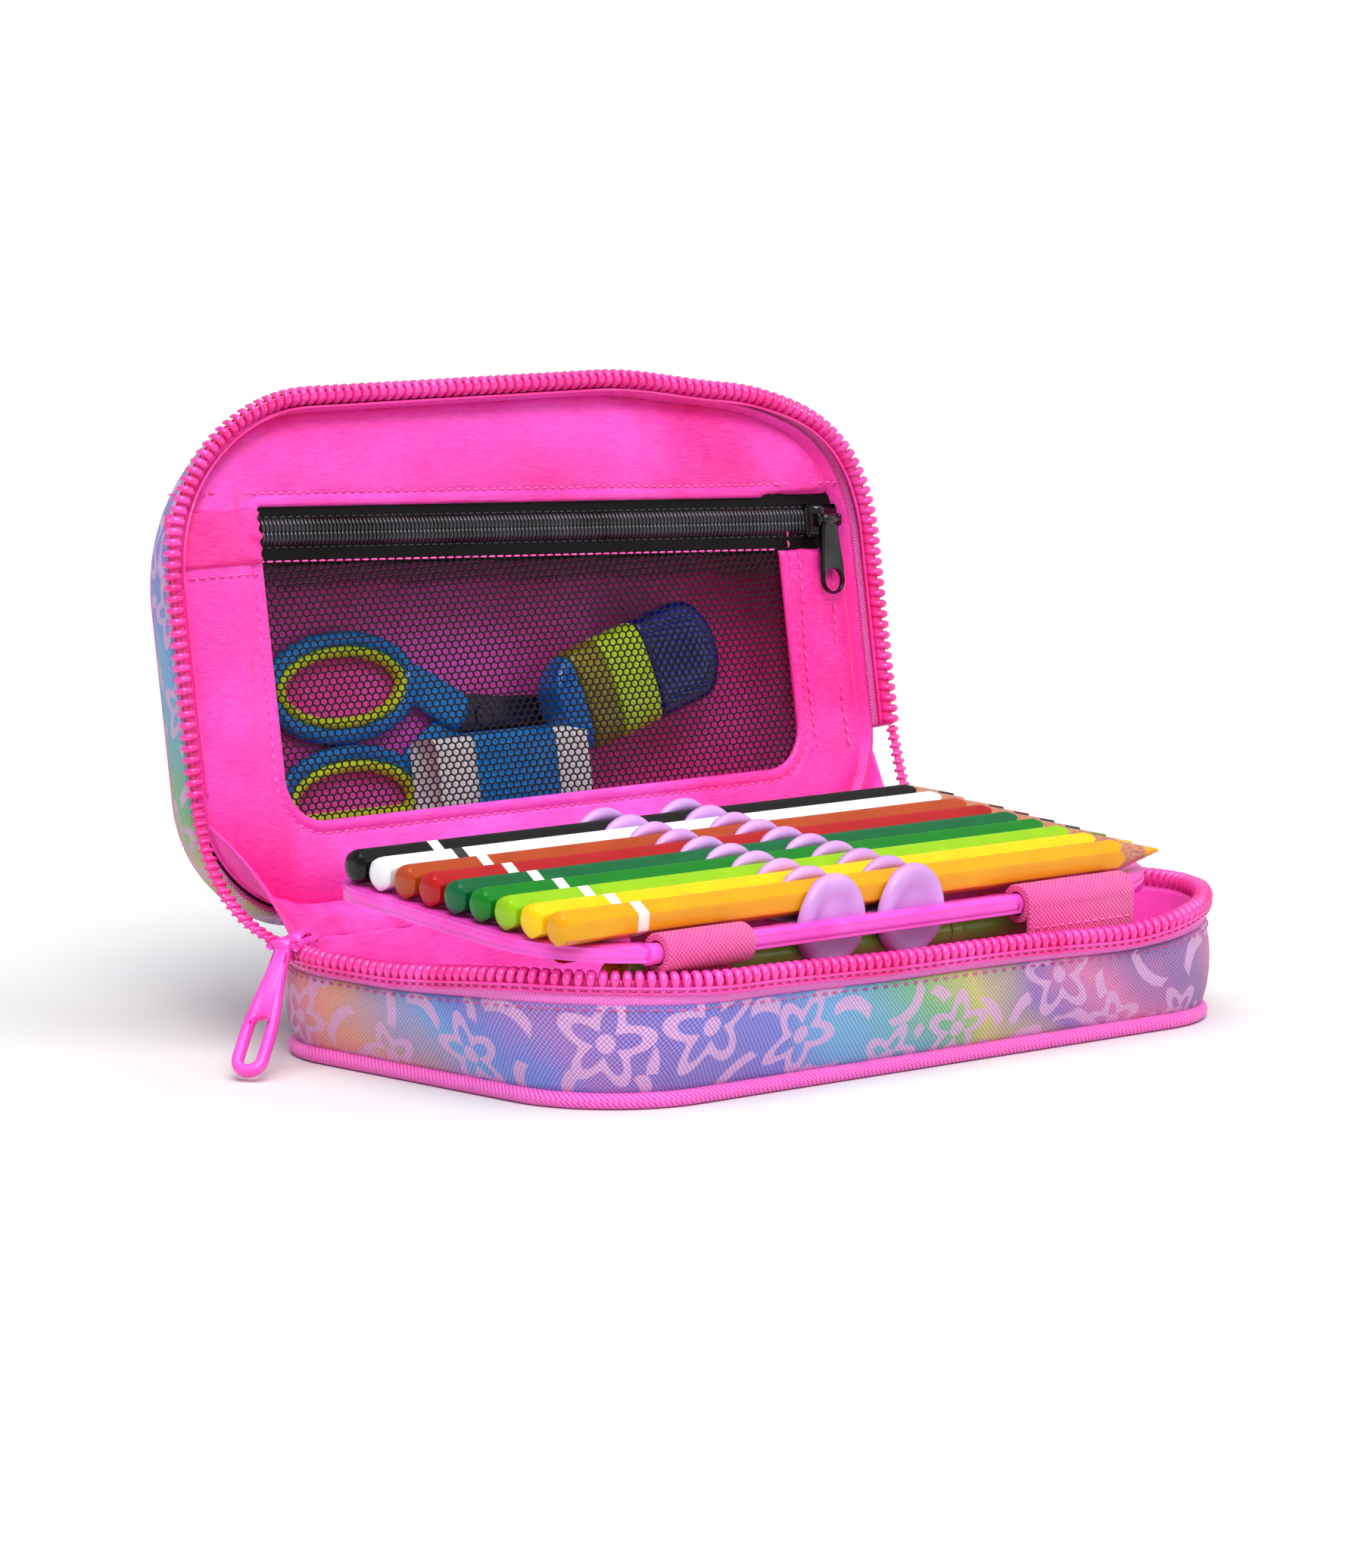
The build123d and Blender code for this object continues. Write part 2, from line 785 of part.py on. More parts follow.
with BuildPart() as page_frame:
    with BuildSketch(page_plane):
        page_outline(0, Mode.ADD)
    extrude(amount=page_web / 2, both=True)
    with BuildSketch(page_plane):
        page_outline(0, Mode.ADD)
        page_outline(page_border, Mode.SUBTRACT)
    extrude(amount=page_border_thickness / 2, both=True)
    with BuildSketch(page_plane):
        notch = loop_outer + loop_notch_gap
        for _, place, width, _ in loops:
            with Locations((place, (notch + page_front) / 2)):
                Rectangle(width + 2 * loop_side_gap, notch - page_front)
    extrude(amount=page_border_thickness, both=True, mode=Mode.SUBTRACT)
    bar_start = page_plane.from_local_coords((page_left + bar_inset, 0, 0))
    with BuildSketch(Plane(origin=bar_start, z_dir=page_plane.x_dir)):
        Circle(bar_radius)
    extrude(amount=page_length - 2 * bar_inset)
    with BuildSketch(page_plane):
        slots_left = column_places[0] - column_half - slot_pitch / 2
        for row in row_places:
            for step in range(slots_each_side):
                with Locations((slots_left - slot_pitch * step, row)):
                    SlotOverall(slot_length, slot_width)
            for step in range(slots_each_side):
                with Locations((column_places[1] + column_half + slot_pitch * (step + 0.5), row)):
                    SlotOverall(slot_length, slot_width)
    extrude(amount=page_web, both=True, mode=Mode.SUBTRACT)
    with BuildSketch(page_plane):
        for place in column_places:
            with Locations((place, (column_low + column_high) / 2)):
                Rectangle(2 * column_half, column_high - column_low)
    extrude(amount=page_border_thickness, both=True, mode=Mode.SUBTRACT)
page_frame.part.label = "page_frame"
export_step(page_frame.part, "parts/page_frame.step")

for column, place in (("left", column_places[0]), ("right", column_places[1])):
    with BuildPart() as lug_column:
        with BuildSketch(page_plane):
            with Locations((place, (column_low + column_high) / 2)):
                Rectangle(2 * lug_radius, column_high - column_low - 2 * column_gap)
        extrude(amount=page_web / 2, both=True)
        for lug in lug_places:
            face_point = page_plane.from_local_coords((place, lug - lug_thickness / 2, 0))
            with BuildSketch(Plane(origin=face_point, x_dir=page_plane.x_dir, z_dir=page_plane.y_dir)):
                Circle(lug_radius)
            extrude(amount=lug_thickness)
        rims = lug_column.edges().filter_by(lambda edge: edge.length > lug_radius)
        fillet(rims.filter_by(GeomType.CIRCLE), radius=lug_round)
    lug_column.part.label = "lug_column_" + column
    export_step(lug_column.part, "parts/lug_column_" + column + ".step")

# Pencils, front to back

pencil_names = ("amber", "yellow", "lime", "green", "bottle", "red", "brown", "white", "black")
cone_slope = sin(radians(cone_angle)) / cos(radians(cone_angle))
lead_shown = (lead_radius - lead_tip) / cone_slope
barrel_radius = pencil_flats / 2 / cos(radians(30)) + marker_gap
wood_end = pencil_length - lead_shown
cone_start = wood_end - (barrel_radius - lead_radius) / cone_slope

for name, row in zip(pencil_names, row_places):
    centre = page_plane.from_local_coords((pencil_left, row, pencil_lift))
    section = Plane(origin=centre, x_dir=page_plane.y_dir, z_dir=page_plane.x_dir)
    side = Plane(origin=centre, x_dir=page_plane.x_dir, z_dir=page_plane.y_dir)
    with BuildPart() as wood:
        with BuildSketch(section):
            RegularPolygon(pencil_flats / 2, 6, major_radius=False, rotation=30)
        extrude(amount=pencil_length)
        with BuildSketch(side):
            with BuildLine():
                TangentArc((pencil_dome, barrel_radius), (0, pencil_flat), tangent=(-1, 0))
                Polyline(
                    (pencil_dome, barrel_radius),
                    (cone_start, barrel_radius),
                    (wood_end, lead_radius),
                    (wood_end, 0),
                    (0, 0),
                    (0, pencil_flat),
                )
            make_face()
        revolve(axis=Axis(centre, page_plane.x_dir), mode=Mode.INTERSECT)
        with BuildSketch(section.offset(wood_cap)):
            Circle(lead_radius)
        extrude(amount=pencil_length, mode=Mode.SUBTRACT)
    with BuildPart() as lead:
        with BuildSketch(side):
            with BuildLine():
                Polyline(
                    (wood_cap, 0),
                    (wood_cap, lead_radius),
                    (wood_end, lead_radius),
                    (pencil_length, lead_tip),
                    (pencil_length, 0),
                    close=True,
                )
            make_face()
        revolve(axis=Axis(centre, page_plane.x_dir))
    pencil = Compound(children=[wood.part, lead.part])
    pencil.label = "pencil_" + name
    export_step(pencil, "parts/pencil_" + name + ".step")

# Markers under the page, each a barrel and a cap

marker_rows = (
    ("sage", 0, marker_hang),
    ("yellow", 1, loose_hang),
    ("orange", 3, marker_hang),
    ("maroon", 5, marker_hang),
    ("plum", 7, marker_hang),
)
cap_start = marker_length + marker_gap
for name, row, hang in marker_rows:
    row_place = first_row + pencil_pitch * row
    centre = page_plane.from_local_coords((marker_left, row_place, -hang))
    side = Plane(origin=centre, x_dir=page_plane.x_dir, z_dir=page_plane.y_dir)
    with BuildPart() as marker:
        with BuildSketch(side):
            with BuildLine():
                neck_end = marker_length + neck_length
                Polyline(
                    (0, 0),
                    (0, marker_radius - marker_dome),
                    (marker_dome, marker_radius),
                    (marker_length, marker_radius),
                    (marker_length, neck_radius),
                    (neck_end, neck_radius),
                    (neck_end + nib_length, nib_radius),
                    (neck_end + nib_length, 0),
                    close=True,
                )
            make_face()
        revolve(axis=Axis(centre, page_plane.x_dir))
    marker.part.label = "marker_" + name
    export_step(marker.part, "parts/marker_" + name + ".step")
    with BuildPart() as cap:
        with BuildSketch(side):
            with BuildLine():
                bore = marker_radius - cap_wall
                cap_far = cap_start + cap_length
                Polyline(
                    (cap_start, bore),
                    (cap_start, marker_radius),
                    (cap_far - marker_dome, marker_radius),
                    (cap_far, marker_radius - marker_dome),
                    (cap_far, 0),
                    (cap_far - cap_end, 0),
                    (cap_far - cap_end, bore),
                    close=True,
                )
            make_face()
        revolve(axis=Axis(centre, page_plane.x_dir))
    cap.part.label = "cap_" + name
    export_step(cap.part, "parts/cap_" + name + ".step")

# Webbing loops round the front bar, with their sewn tails

for side_name, place, width, tail_side in loops:
    loop_start = Vector(place - width / 2, bar_y, bar_height)
    with BuildPart() as webbing_loop:
        with BuildSketch(Plane(origin=loop_start, x_dir=(0, 1, 0), z_dir=(1, 0, 0))):
            Circle(loop_outer)
            tail_middle = tail_side * (loop_outer - webbing_thickness / 2)
            with Locations((tail_middle, -(loop_outer + webbing_tail) / 2)):
                Rectangle(webbing_thickness, loop_outer + webbing_tail)
            Circle(loop_inner, mode=Mode.SUBTRACT)
        extrude(amount=width)
    webbing_loop.part.label = "webbing_loop_" + side_name
    export_step(webbing_loop.part, "parts/webbing_loop_" + side_name + ".step")

# In the pocket: a rubber in its sleeve

item_back = item_front + 2 * sleeve_wall + 2 * sleeve_clearance + eraser_thickness
eraser_front = item_front + sleeve_wall + sleeve_clearance
eraser_low = shelf_height + fabric_gap + sleeve_wall + sleeve_clearance
eraser_mid = (eraser_left + eraser_length / 2, eraser_low + eraser_height / 2)
sleeve_mid = (sleeve_left + sleeve_length / 2, eraser_mid[1])

with BuildPart() as eraser:
    with BuildSketch(lid_at(eraser_front + eraser_thickness)):
        with Locations(eraser_mid):
            RectangleRounded(eraser_length, eraser_height, eraser_round)
    extrude(amount=eraser_thickness)
eraser.part.label = "eraser"
export_step(eraser.part, "parts/eraser.step")

with BuildPart() as eraser_sleeve:
    with BuildSketch(
        Plane(
            origin=lid_point(sleeve_left, eraser_mid[1], eraser_front + eraser_thickness / 2),
            x_dir=lid_plane.y_dir,
            z_dir=lid_plane.x_dir,
        )
    ):
        hole_high = eraser_height + 2 * sleeve_clearance
        hole_deep = eraser_thickness + 2 * sleeve_clearance
        Rectangle(hole_high + 2 * sleeve_wall, hole_deep + 2 * sleeve_wall)
        Rectangle(hole_high, hole_deep, mode=Mode.SUBTRACT)
    extrude(amount=sleeve_length)
eraser_sleeve.part.label = "eraser_sleeve"
export_step(eraser_sleeve.part, "parts/eraser_sleeve.step")

# A sharpener with its shavings tank

sharpener_plane = Plane(
    origin=lid_point(sharpener_u, sharpener_v, item_front + sharpener_thickness),
    x_dir=lid_plane.x_dir.rotate(Axis((0, 0, 0), lid_plane.z_dir), sharpener_turn),
    z_dir=lid_plane.z_dir,
)
sharpener_cuts = [
    -sharpener_length / 2,
    -sharpener_length / 2 + nose_length,
    -sharpener_length / 2 + nose_length + tank_length,
    -sharpener_length / 2 + nose_length + tank_length + collar_length,
    sharpener_length / 2,
]
sharpener_pieces = ("sharpener_nose", "sharpener_tank", "sharpener_collar", "sharpener_body")
for name, low, high in zip(sharpener_pieces, sharpener_cuts, sharpener_cuts[1:]):
    with BuildPart() as sharpener_piece:
        with BuildSketch(sharpener_plane):
            RectangleRounded(sharpener_length, sharpener_height, sharpener_corner)
        extrude(amount=sharpener_thickness)
        fillet(
            sharpener_piece.faces().filter_by(lid_plane).sort_by(Axis.Y)[0].edges(),
            radius=sharpener_round,
        )
        with BuildSketch(sharpener_plane):
            with Locations(((low + high) / 2, 0)):
                Rectangle(high - low - sharpener_seam, sharpener_height)
        extrude(amount=sharpener_thickness, mode=Mode.INTERSECT)
    sharpener_piece.part.label = name
    export_step(sharpener_piece.part, "parts/" + name + ".step")

# Scissors: two halves on a rivet, with soft rims in the finger loops

handle_back = lid_floor - fabric_gap
handle_front = handle_back - handle_thickness
blade_middle = (handle_front + handle_back) / 2
halves = (
    ("front", 1, blade_middle - blade_gap / 2),
    ("back", -1, blade_middle + blade_gap / 2 + blade_thickness),
)
for name, hand, blade_back in halves:
    loop_v = pivot_v + hand * loop_offset
    with BuildPart() as scissors_half:
        with BuildSketch(lid_at(handle_back)):
            with Locations((loop_u, loop_v)):
                Ellipse(loop_length / 2, loop_height / 2)
                Ellipse(loop_length / 2 - loop_rim, loop_height / 2 - loop_rim, mode=Mode.SUBTRACT)
        extrude(amount=handle_thickness)
        with BuildSketch(lid_at(blade_back)):
            with BuildLine():
                arm_u = loop_u + loop_length / 2 - loop_rim / 2
                Polyline(
                    (arm_u, loop_v + hand * blade_tip),
                    (pivot_u, pivot_v + hand * hub_radius / 2),
                    (pivot_u, pivot_v - hand * hub_radius),
                    (arm_u, loop_v - hand * blade_width / 2),
                    close=True,
                )
            make_face()
            with Locations((pivot_u, pivot_v)):
                Circle(hub_radius)
            with BuildLine():
                Polyline(
                    (pivot_u, pivot_v - hand * blade_width / 2),
                    (pivot_u, pivot_v + hand * blade_width / 2),
                    (pivot_u + blade_length * blade_bend_share, pivot_v + hand * blade_width / 4),
                    (pivot_u + blade_length, pivot_v + hand * blade_tip / 4),
                    (pivot_u + blade_length, pivot_v - hand * blade_tip / 2),
                    close=True,
                )
            make_face()
        extrude(amount=blade_thickness)
        with BuildSketch(lid_at(handle_back)):
            with Locations((pivot_u, pivot_v)):
                Circle(rivet_radius + rivet_clearance)
        extrude(amount=handle_thickness, mode=Mode.SUBTRACT)
    scissors_half.part.label = "scissors_" + name
    export_step(scissors_half.part, "parts/scissors_" + name + ".step")
    with BuildPart() as grip:
        with BuildSketch(lid_at(handle_back)):
            with Locations((loop_u, loop_v)):
                rim_u = loop_length / 2 - loop_rim
                rim_v = loop_height / 2 - loop_rim
                Ellipse(rim_u, rim_v)
                Ellipse(rim_u - grip_wall, rim_v - grip_wall, mode=Mode.SUBTRACT)
        extrude(amount=handle_thickness)
    grip.part.label = "scissors_grip_" + name
    export_step(grip.part, "parts/scissors_grip_" + name + ".step")

with BuildPart() as scissors_rivet:
    stack_front = blade_middle - blade_gap / 2 - blade_thickness
    stack_back = blade_middle + blade_gap / 2 + blade_thickness
    with BuildSketch(lid_at(stack_back + rivet_clearance)):
        with Locations((pivot_u, pivot_v)):
            Circle(rivet_radius)
    extrude(amount=stack_back - stack_front + 2 * rivet_clearance)
    with BuildSketch(lid_at(stack_front - rivet_clearance)):
        with Locations((pivot_u, pivot_v)):
            Circle(rivet_head)
    extrude(amount=rivet_head_height)
    with BuildSketch(lid_at(stack_back + rivet_clearance + rivet_head_height)):
        with Locations((pivot_u, pivot_v)):
            Circle(rivet_head)
    extrude(amount=rivet_head_height)
scissors_rivet.part.label = "scissors_rivet"
export_step(scissors_rivet.part, "parts/scissors_rivet.step")
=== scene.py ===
import math

import bmesh
import bpy
import mathutils
import numpy as np
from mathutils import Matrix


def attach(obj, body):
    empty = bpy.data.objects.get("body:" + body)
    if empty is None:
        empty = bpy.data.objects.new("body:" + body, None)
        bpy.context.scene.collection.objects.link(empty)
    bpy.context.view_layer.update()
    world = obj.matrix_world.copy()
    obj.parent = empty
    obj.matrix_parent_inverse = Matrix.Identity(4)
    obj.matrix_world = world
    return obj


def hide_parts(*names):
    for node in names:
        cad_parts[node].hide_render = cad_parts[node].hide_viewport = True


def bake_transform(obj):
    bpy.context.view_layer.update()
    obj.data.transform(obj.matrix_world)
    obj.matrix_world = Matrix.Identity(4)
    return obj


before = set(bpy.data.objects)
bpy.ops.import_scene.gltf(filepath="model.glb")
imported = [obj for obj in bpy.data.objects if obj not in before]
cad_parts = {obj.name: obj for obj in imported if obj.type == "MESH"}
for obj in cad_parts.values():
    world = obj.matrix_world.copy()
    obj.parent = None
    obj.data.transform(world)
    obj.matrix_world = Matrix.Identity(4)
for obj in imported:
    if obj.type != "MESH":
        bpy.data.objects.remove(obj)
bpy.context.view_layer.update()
mm = 0.001
tau = 2 * math.pi
print("frame loaded")


# Places. All shapes are worked out in millimetres in the part's own frame.

tray = {"length": 191, "width": 115, "corner": 26, "low": 4.1, "rise": 20.1,
        "growLength": 9, "growWidth": 8, "growCorner": 13, "zipEnd": 43.5, "rim": 24.2}
lid = {"half": 104, "foot": 1, "top": 117, "topCorner": 43, "lowCorner": 30, "shift": 2, "depth": 26,
       "sideDraft": 12.5, "topDraft": 6, "lowDraft": 1, "cornerDraft": 3, "zipStart": 28.5,
       "hingeY": 60, "hingeZ": 24.35, "gap": 0.15, "lean": math.radians(9), "sink": 1.9, "cornerSink": 4.9}
page = {"y": -54.2, "z": 31.5, "tilt": math.radians(5.5), "left": -101, "right": 78.5,
        "front": -2.2, "back": 80, "frontCorner": 28, "backCorner": 13}
sagging = {"front": 1.2, "frontLeft": 1.1, "dip": -1.3, "dipAt": 52, "dipWide": 24,
           "rightRise": 2.8, "leftRise": 1.0}
traySteps, lidSteps = (96, 26, 40), (84, 28, 44)
upward = np.array([0.0, 0, 1])


def smoothStep(value, low, high):
    t = np.clip((np.asarray(value, float) - low) / (high - low), 0, 1)
    return t * t * (3 - 2 * t)


# How far the tray's rim stands off its level line: high at the left, dipping, then rising to the right
def rimRise(x, y):
    front = 1 - smoothStep(y, -40, 10)
    level = sagging["front"] + sagging["frontLeft"] * smoothStep(-x, 10, 60)
    dip = (level + sagging["dip"] * np.exp(-(((x - sagging["dipAt"]) / sagging["dipWide"]) ** 2))) * front
    right = sagging["rightRise"] * smoothStep(x, 50, 96) * (1 - smoothStep(y, 5, 45))
    left = sagging["leftRise"] * smoothStep(-x, 60, 95) * front
    return dip + right + left


# Points and outward normals round a box outline with rounded corners, starting at the low middle.
# Each stretch has the same count for any size, so that rings of different sizes match.
def ringOf(left, right, low, high, lowCorner, highCorner, steps=(48, 14, 20)):
    across, round_, up = steps
    lowCorner = max(lowCorner, 0.6)
    highCorner = max(highCorner, 0.6)
    middle = (left + right) / 2
    xs, ys, turns = [], [], []

    def run(x0, y0, x1, y1, count, turn):
        t = np.arange(count) / count
        xs.append(x0 + (x1 - x0) * t)
        ys.append(y0 + (y1 - y0) * t)
        turns.append(np.full(count, turn))

    def arc(x, y, radius, start):
        a = start + math.pi / 2 * np.arange(round_) / round_
        xs.append(x + radius * np.cos(a))
        ys.append(y + radius * np.sin(a))
        turns.append(a)

    quarter = math.pi / 2
    run(middle, low, right - lowCorner, low, across // 2, -quarter)
    arc(right - lowCorner, low + lowCorner, lowCorner, -quarter)
    run(right, low + lowCorner, right, high - highCorner, up, 0)
    arc(right - highCorner, high - highCorner, highCorner, 0)
    run(right - highCorner, high, left + highCorner, high, across, quarter)
    arc(left + highCorner, high - highCorner, highCorner, quarter)
    run(left, high - highCorner, left, low + lowCorner, up, 2 * quarter)
    arc(left + lowCorner, low + lowCorner, lowCorner, 2 * quarter)
    run(left + lowCorner, low, middle, low, across // 2, 3 * quarter)
    turn = np.concatenate(turns)
    return np.concatenate(xs), np.concatenate(ys), np.cos(turn), np.sin(turn)


# The tray's outline at a height, drawn in by an inset, with the rim's sag in it
def trayRing(inset, height, sag=True):
    share = (height - tray["low"]) / tray["rise"]
    halfLength = (tray["length"] + tray["growLength"] * share) / 2 - inset
    halfWidth = (tray["width"] + tray["growWidth"] * share) / 2 - inset
    corner = tray["corner"] + tray["growCorner"] * share - inset
    x, y, nx, ny = ringOf(-halfLength, halfLength, -halfWidth, halfWidth, corner, corner, traySteps)
    z = height + (rimRise(x, y) * np.clip(share, 0, 1.1) ** 1.5 if sag else 0)
    return np.stack([x, y, z + 0 * x], 1), np.stack([nx, ny, 0 * nx], 1)


# How far the soft top edge of the open lid sinks, most at its right-hand corner
def lidBow(u, v):
    corner = smoothStep(u, 25, 72) - 0.45 * smoothStep(u, 75, 102)
    return (lid["sink"] + lid["cornerSink"] * corner) * smoothStep(v, 84, 116)


# Turns three places into a point, by an origin and three directions
def frameAt(origin, *directions):
    def point(*places):
        places = np.broadcast_arrays(*[np.asarray(place, float) for place in places])
        steps = [place[..., None] * np.asarray(way, float) for place, way in zip(places, directions)]
        return np.asarray(origin, float) + steps[0] + steps[1] + steps[2]
    return point


def tilted(origin, angle):
    c, s = math.cos(angle), math.sin(angle)
    return frameAt(origin, (1, 0, 0), (0, s, c), (0, c, -s))


lidTurn = tilted((0, 0, 0), lid["lean"])
lidFrame = tilted((0, lid["hingeY"], lid["hingeZ"]), lid["lean"])


# A point of the lid, by its place along, up and behind the zip's face
def lidPoint(u, v, d):
    return lidFrame(u, v - lidBow(u, v), d + lid["gap"])


# The lid's outline at a depth behind its zip, drawn in by an inset
def lidRingFlat(inset, depth):
    share = depth / lid["depth"]
    half = lid["half"] - lid["sideDraft"] * share - inset
    low = lid["foot"] + lid["lowDraft"] * share + inset
    high = lid["top"] - lid["topDraft"] * share - inset
    topCorner = lid["topCorner"] - lid["cornerDraft"] * share - inset
    lowCorner = lid["lowCorner"] - lid["cornerDraft"] * share - inset
    return ringOf(lid["shift"] - half, lid["shift"] + half, low, high, lowCorner, topCorner, lidSteps)


def lidRing(inset, depth):
    u, v, nu, nv = lidRingFlat(inset, depth)
    return lidPoint(u, v, depth), lidTurn(nu, nv, 0)


# A point of the page, by its place along, behind the front bar and above the page
pagePoint = frameAt((0, page["y"], page["z"]), (1, 0, 0), (0, math.cos(page["tilt"]), math.sin(page["tilt"])),
                    (0, -math.sin(page["tilt"]), math.cos(page["tilt"])))
pageAcross = pagePoint(0, 1, 0) - pagePoint(0, 0, 0)


# Meshes

def unit(vectors):
    return vectors / np.linalg.norm(vectors, axis=-1, keepdims=True)


def stepLengths(points, closed=False):
    ends = np.concatenate([points, points[:1]]) if closed else points
    return np.concatenate([[0], np.cumsum(np.linalg.norm(np.diff(ends, axis=0), axis=1))])


# Gathers grids of points into one mesh. A grid is rows x columns x 3, or many such grids at once.
class Mould:
    def __init__(self):
        self.points, self.faces, self.uvs, self.marks = [], [], [], {}
        self.count = 0

    def add(self, grid, ring=False, tube=False, caps=False, ends=False, uv=None, marks=None):
        grid = np.asarray(grid, float)
        copies = grid.reshape((-1,) + grid.shape[-3:])
        many, rows, columns = copies.shape[:3]
        i, j = np.meshgrid(np.arange(rows if ring else rows - 1),
                           np.arange(columns if tube else columns - 1), indexing="ij")
        corners = [(i, j), (i + 1, j), (i + 1, j + 1), (i, j + 1)]
        quads = np.stack([(a % rows) * columns + b % columns for a, b in corners], -1).reshape(-1, 4)
        starts = self.count + np.arange(many)[:, None, None] * rows * columns
        self.faces += (starts + quads[None]).reshape(-1, 4).tolist()
        if uv is None:
            uv = np.zeros((rows + 1, columns + 1, 2))
        cornerUvs = np.stack([uv[a, b] for a, b in corners], -2).reshape(-1, 2)
        self.uvs.append(np.tile(cornerUvs, (many, 1)))
        loops = []
        if caps:  # flat ends on the first and last row
            first = np.arange(columns)
            loops += [(first[::-1], uv[0, :columns][::-1]),
                      (first + (rows - 1) * columns, uv[rows - 1, :columns])]
        if ends:  # flat ends on the first and last column
            first = np.arange(rows) * columns
            loops += [(first, uv[:rows, 0]), ((first + columns - 1)[::-1], uv[:rows, columns - 1][::-1])]
        for loop, loopUv in loops:
            self.faces += (starts[:, :, 0] + loop[None]).tolist()
            self.uvs.append(np.tile(loopUv, (many, 1)))
        self.points.append(copies.reshape(-1, 3))
        for key, values in (marks or {}).items():
            full = np.broadcast_to(np.asarray(values, float), copies.shape[:3]).ravel()
            self.marks.setdefault(key, []).append((self.count, full))
        self.count += many * rows * columns
        return self

    # A tube with flat ends, or one that closes on itself
    def rod(self, grid, **more):
        return self.add(grid, tube=True, caps=True, **more)

    def loop(self, grid, **more):
        return self.add(grid, ring=True, tube=True, **more)

    # Makes the object: its faces turned outwards, riding on its body and standing for its nodes
    def cast(self, name, body, material, nodes=(), slot=None, weld=False, angle=None):
        mesh = bpy.data.meshes.new(name)
        mesh.from_pydata((np.concatenate(self.points) * mm).tolist(), [], self.faces)
        layer = mesh.uv_layers.new(name="UVMap")
        layer.data.foreach_set("uv", np.concatenate(self.uvs).astype(np.float32).ravel())
        for key, parts in self.marks.items():
            values = np.zeros(self.count, np.float32)
            for start, part in parts:
                values[start:start + len(part)] = part
            mesh.attributes.new(key, "FLOAT", "POINT").data.foreach_set("value", values)
        work = bmesh.new()
        work.from_mesh(mesh)
        if weld:
            bmesh.ops.remove_doubles(work, verts=work.verts, dist=0.02 * mm)
        bmesh.ops.recalc_face_normals(work, faces=work.faces)
        work.to_mesh(mesh)
        work.free()
        mesh.polygons.foreach_set("use_smooth", np.full(len(mesh.polygons), True))
        if angle:
            mesh.set_sharp_from_angle(angle=math.radians(angle))
        mesh.materials.append(material)
        mesh.update()
        piece = bpy.data.objects.new(name, mesh)
        bpy.context.scene.collection.objects.link(piece)
        if body:
            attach(piece, body)
        if nodes:
            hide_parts(*nodes)
        return piece


# A profile of (inset, level) pairs carried round a ring, as a grid with a uv in millimetres
def carried(ring, profile, swell=None, keep=None):
    made = [ring(inset, level) for inset, level in profile]
    grid = np.stack([points for points, _ in made], 1)
    normals = np.stack([turn for _, turn in made], 1)
    if keep is None:  # the pattern's join goes to the back of the tray or the foot of the lid
        start = int(np.argmax(grid[:, 0, 1] - grid[:, 0, 2]))
        grid, normals = np.roll(grid, -start, 0), np.roll(normals, -start, 0)
    if swell is not None:
        around = stepLengths(grid[:, 0])
        grid = grid + normals * swell(around[:, None], np.arange(len(profile))[None])[..., None]
    if keep is not None:
        grid = grid[keep]
        normals = normals[keep]
    middle = grid[:, len(profile) // 4]
    around = stepLengths(middle, keep is None)
    across = stepLengths(grid[0], True)
    if keep is not None:
        around = np.append(around, around[-1])
    uv = np.stack(np.meshgrid(around, across, indexing="ij"), -1)
    return grid, normals, uv


# The skin of a profile carried round a ring: a closed band, a dish with flat ends, or the kept stretch.
# With level set, its uv is read from those two axes.
def skin(ring, profile, swell=None, keep=None, dish=False, level=None):
    grid, _, uv = carried(ring, profile, swell, keep)
    if level:
        uv = levelUv(grid, *level)
    if keep is not None:
        return Mould().rod(grid, uv=uv)
    return Mould().add(grid, ring=True, tube=not dish, ends=dish, uv=uv)


# Even places along a line, with its direction and any values carried with it
def spaced(points, pitch, *others, closed=False):
    if closed:
        points = np.concatenate([points, points[:1]])
        others = [np.concatenate([o, o[:1]]) for o in others]
    s = stepLengths(points)
    count = max(2, int(s[-1] / pitch))
    at = (np.arange(count) + 0.5) * s[-1] / count

    def pick(values, where):
        return np.stack([np.interp(where, s, values[:, k]) for k in range(values.shape[1])], 1)

    ahead = pick(points, np.minimum(at + pitch / 4, s[-1])) - pick(points, np.maximum(at - pitch / 4, 0))
    return [pick(points, at), unit(ahead)] + [pick(o, at) for o in others]


# Bent rods set side by side: each follows (out, up) places with a radius at each, 6 sides round
def rods(centres, outs, ups, ahead, places, radii, wide=1.0, lean=0.0, sides=6):
    places = np.asarray(places, float)
    radii = np.asarray(radii, float)
    slope = unit(np.gradient(places, axis=0))
    turn = np.arange(sides) * tau / sides
    o = places[:, :1] - slope[:, 1:] * radii[:, None] * np.sin(turn)
    u = places[:, 1:] + slope[:, :1] * radii[:, None] * np.sin(turn)
    along = radii[:, None] * np.cos(turn) * wide + lean * (places[:, 1:] - places[:, 1].mean())
    return (centres[:, None, None] + outs[:, None, None] * o[None, ..., None]
            + ups[:, None, None] * u[None, ..., None] + ahead[:, None, None] * along[None, ..., None])


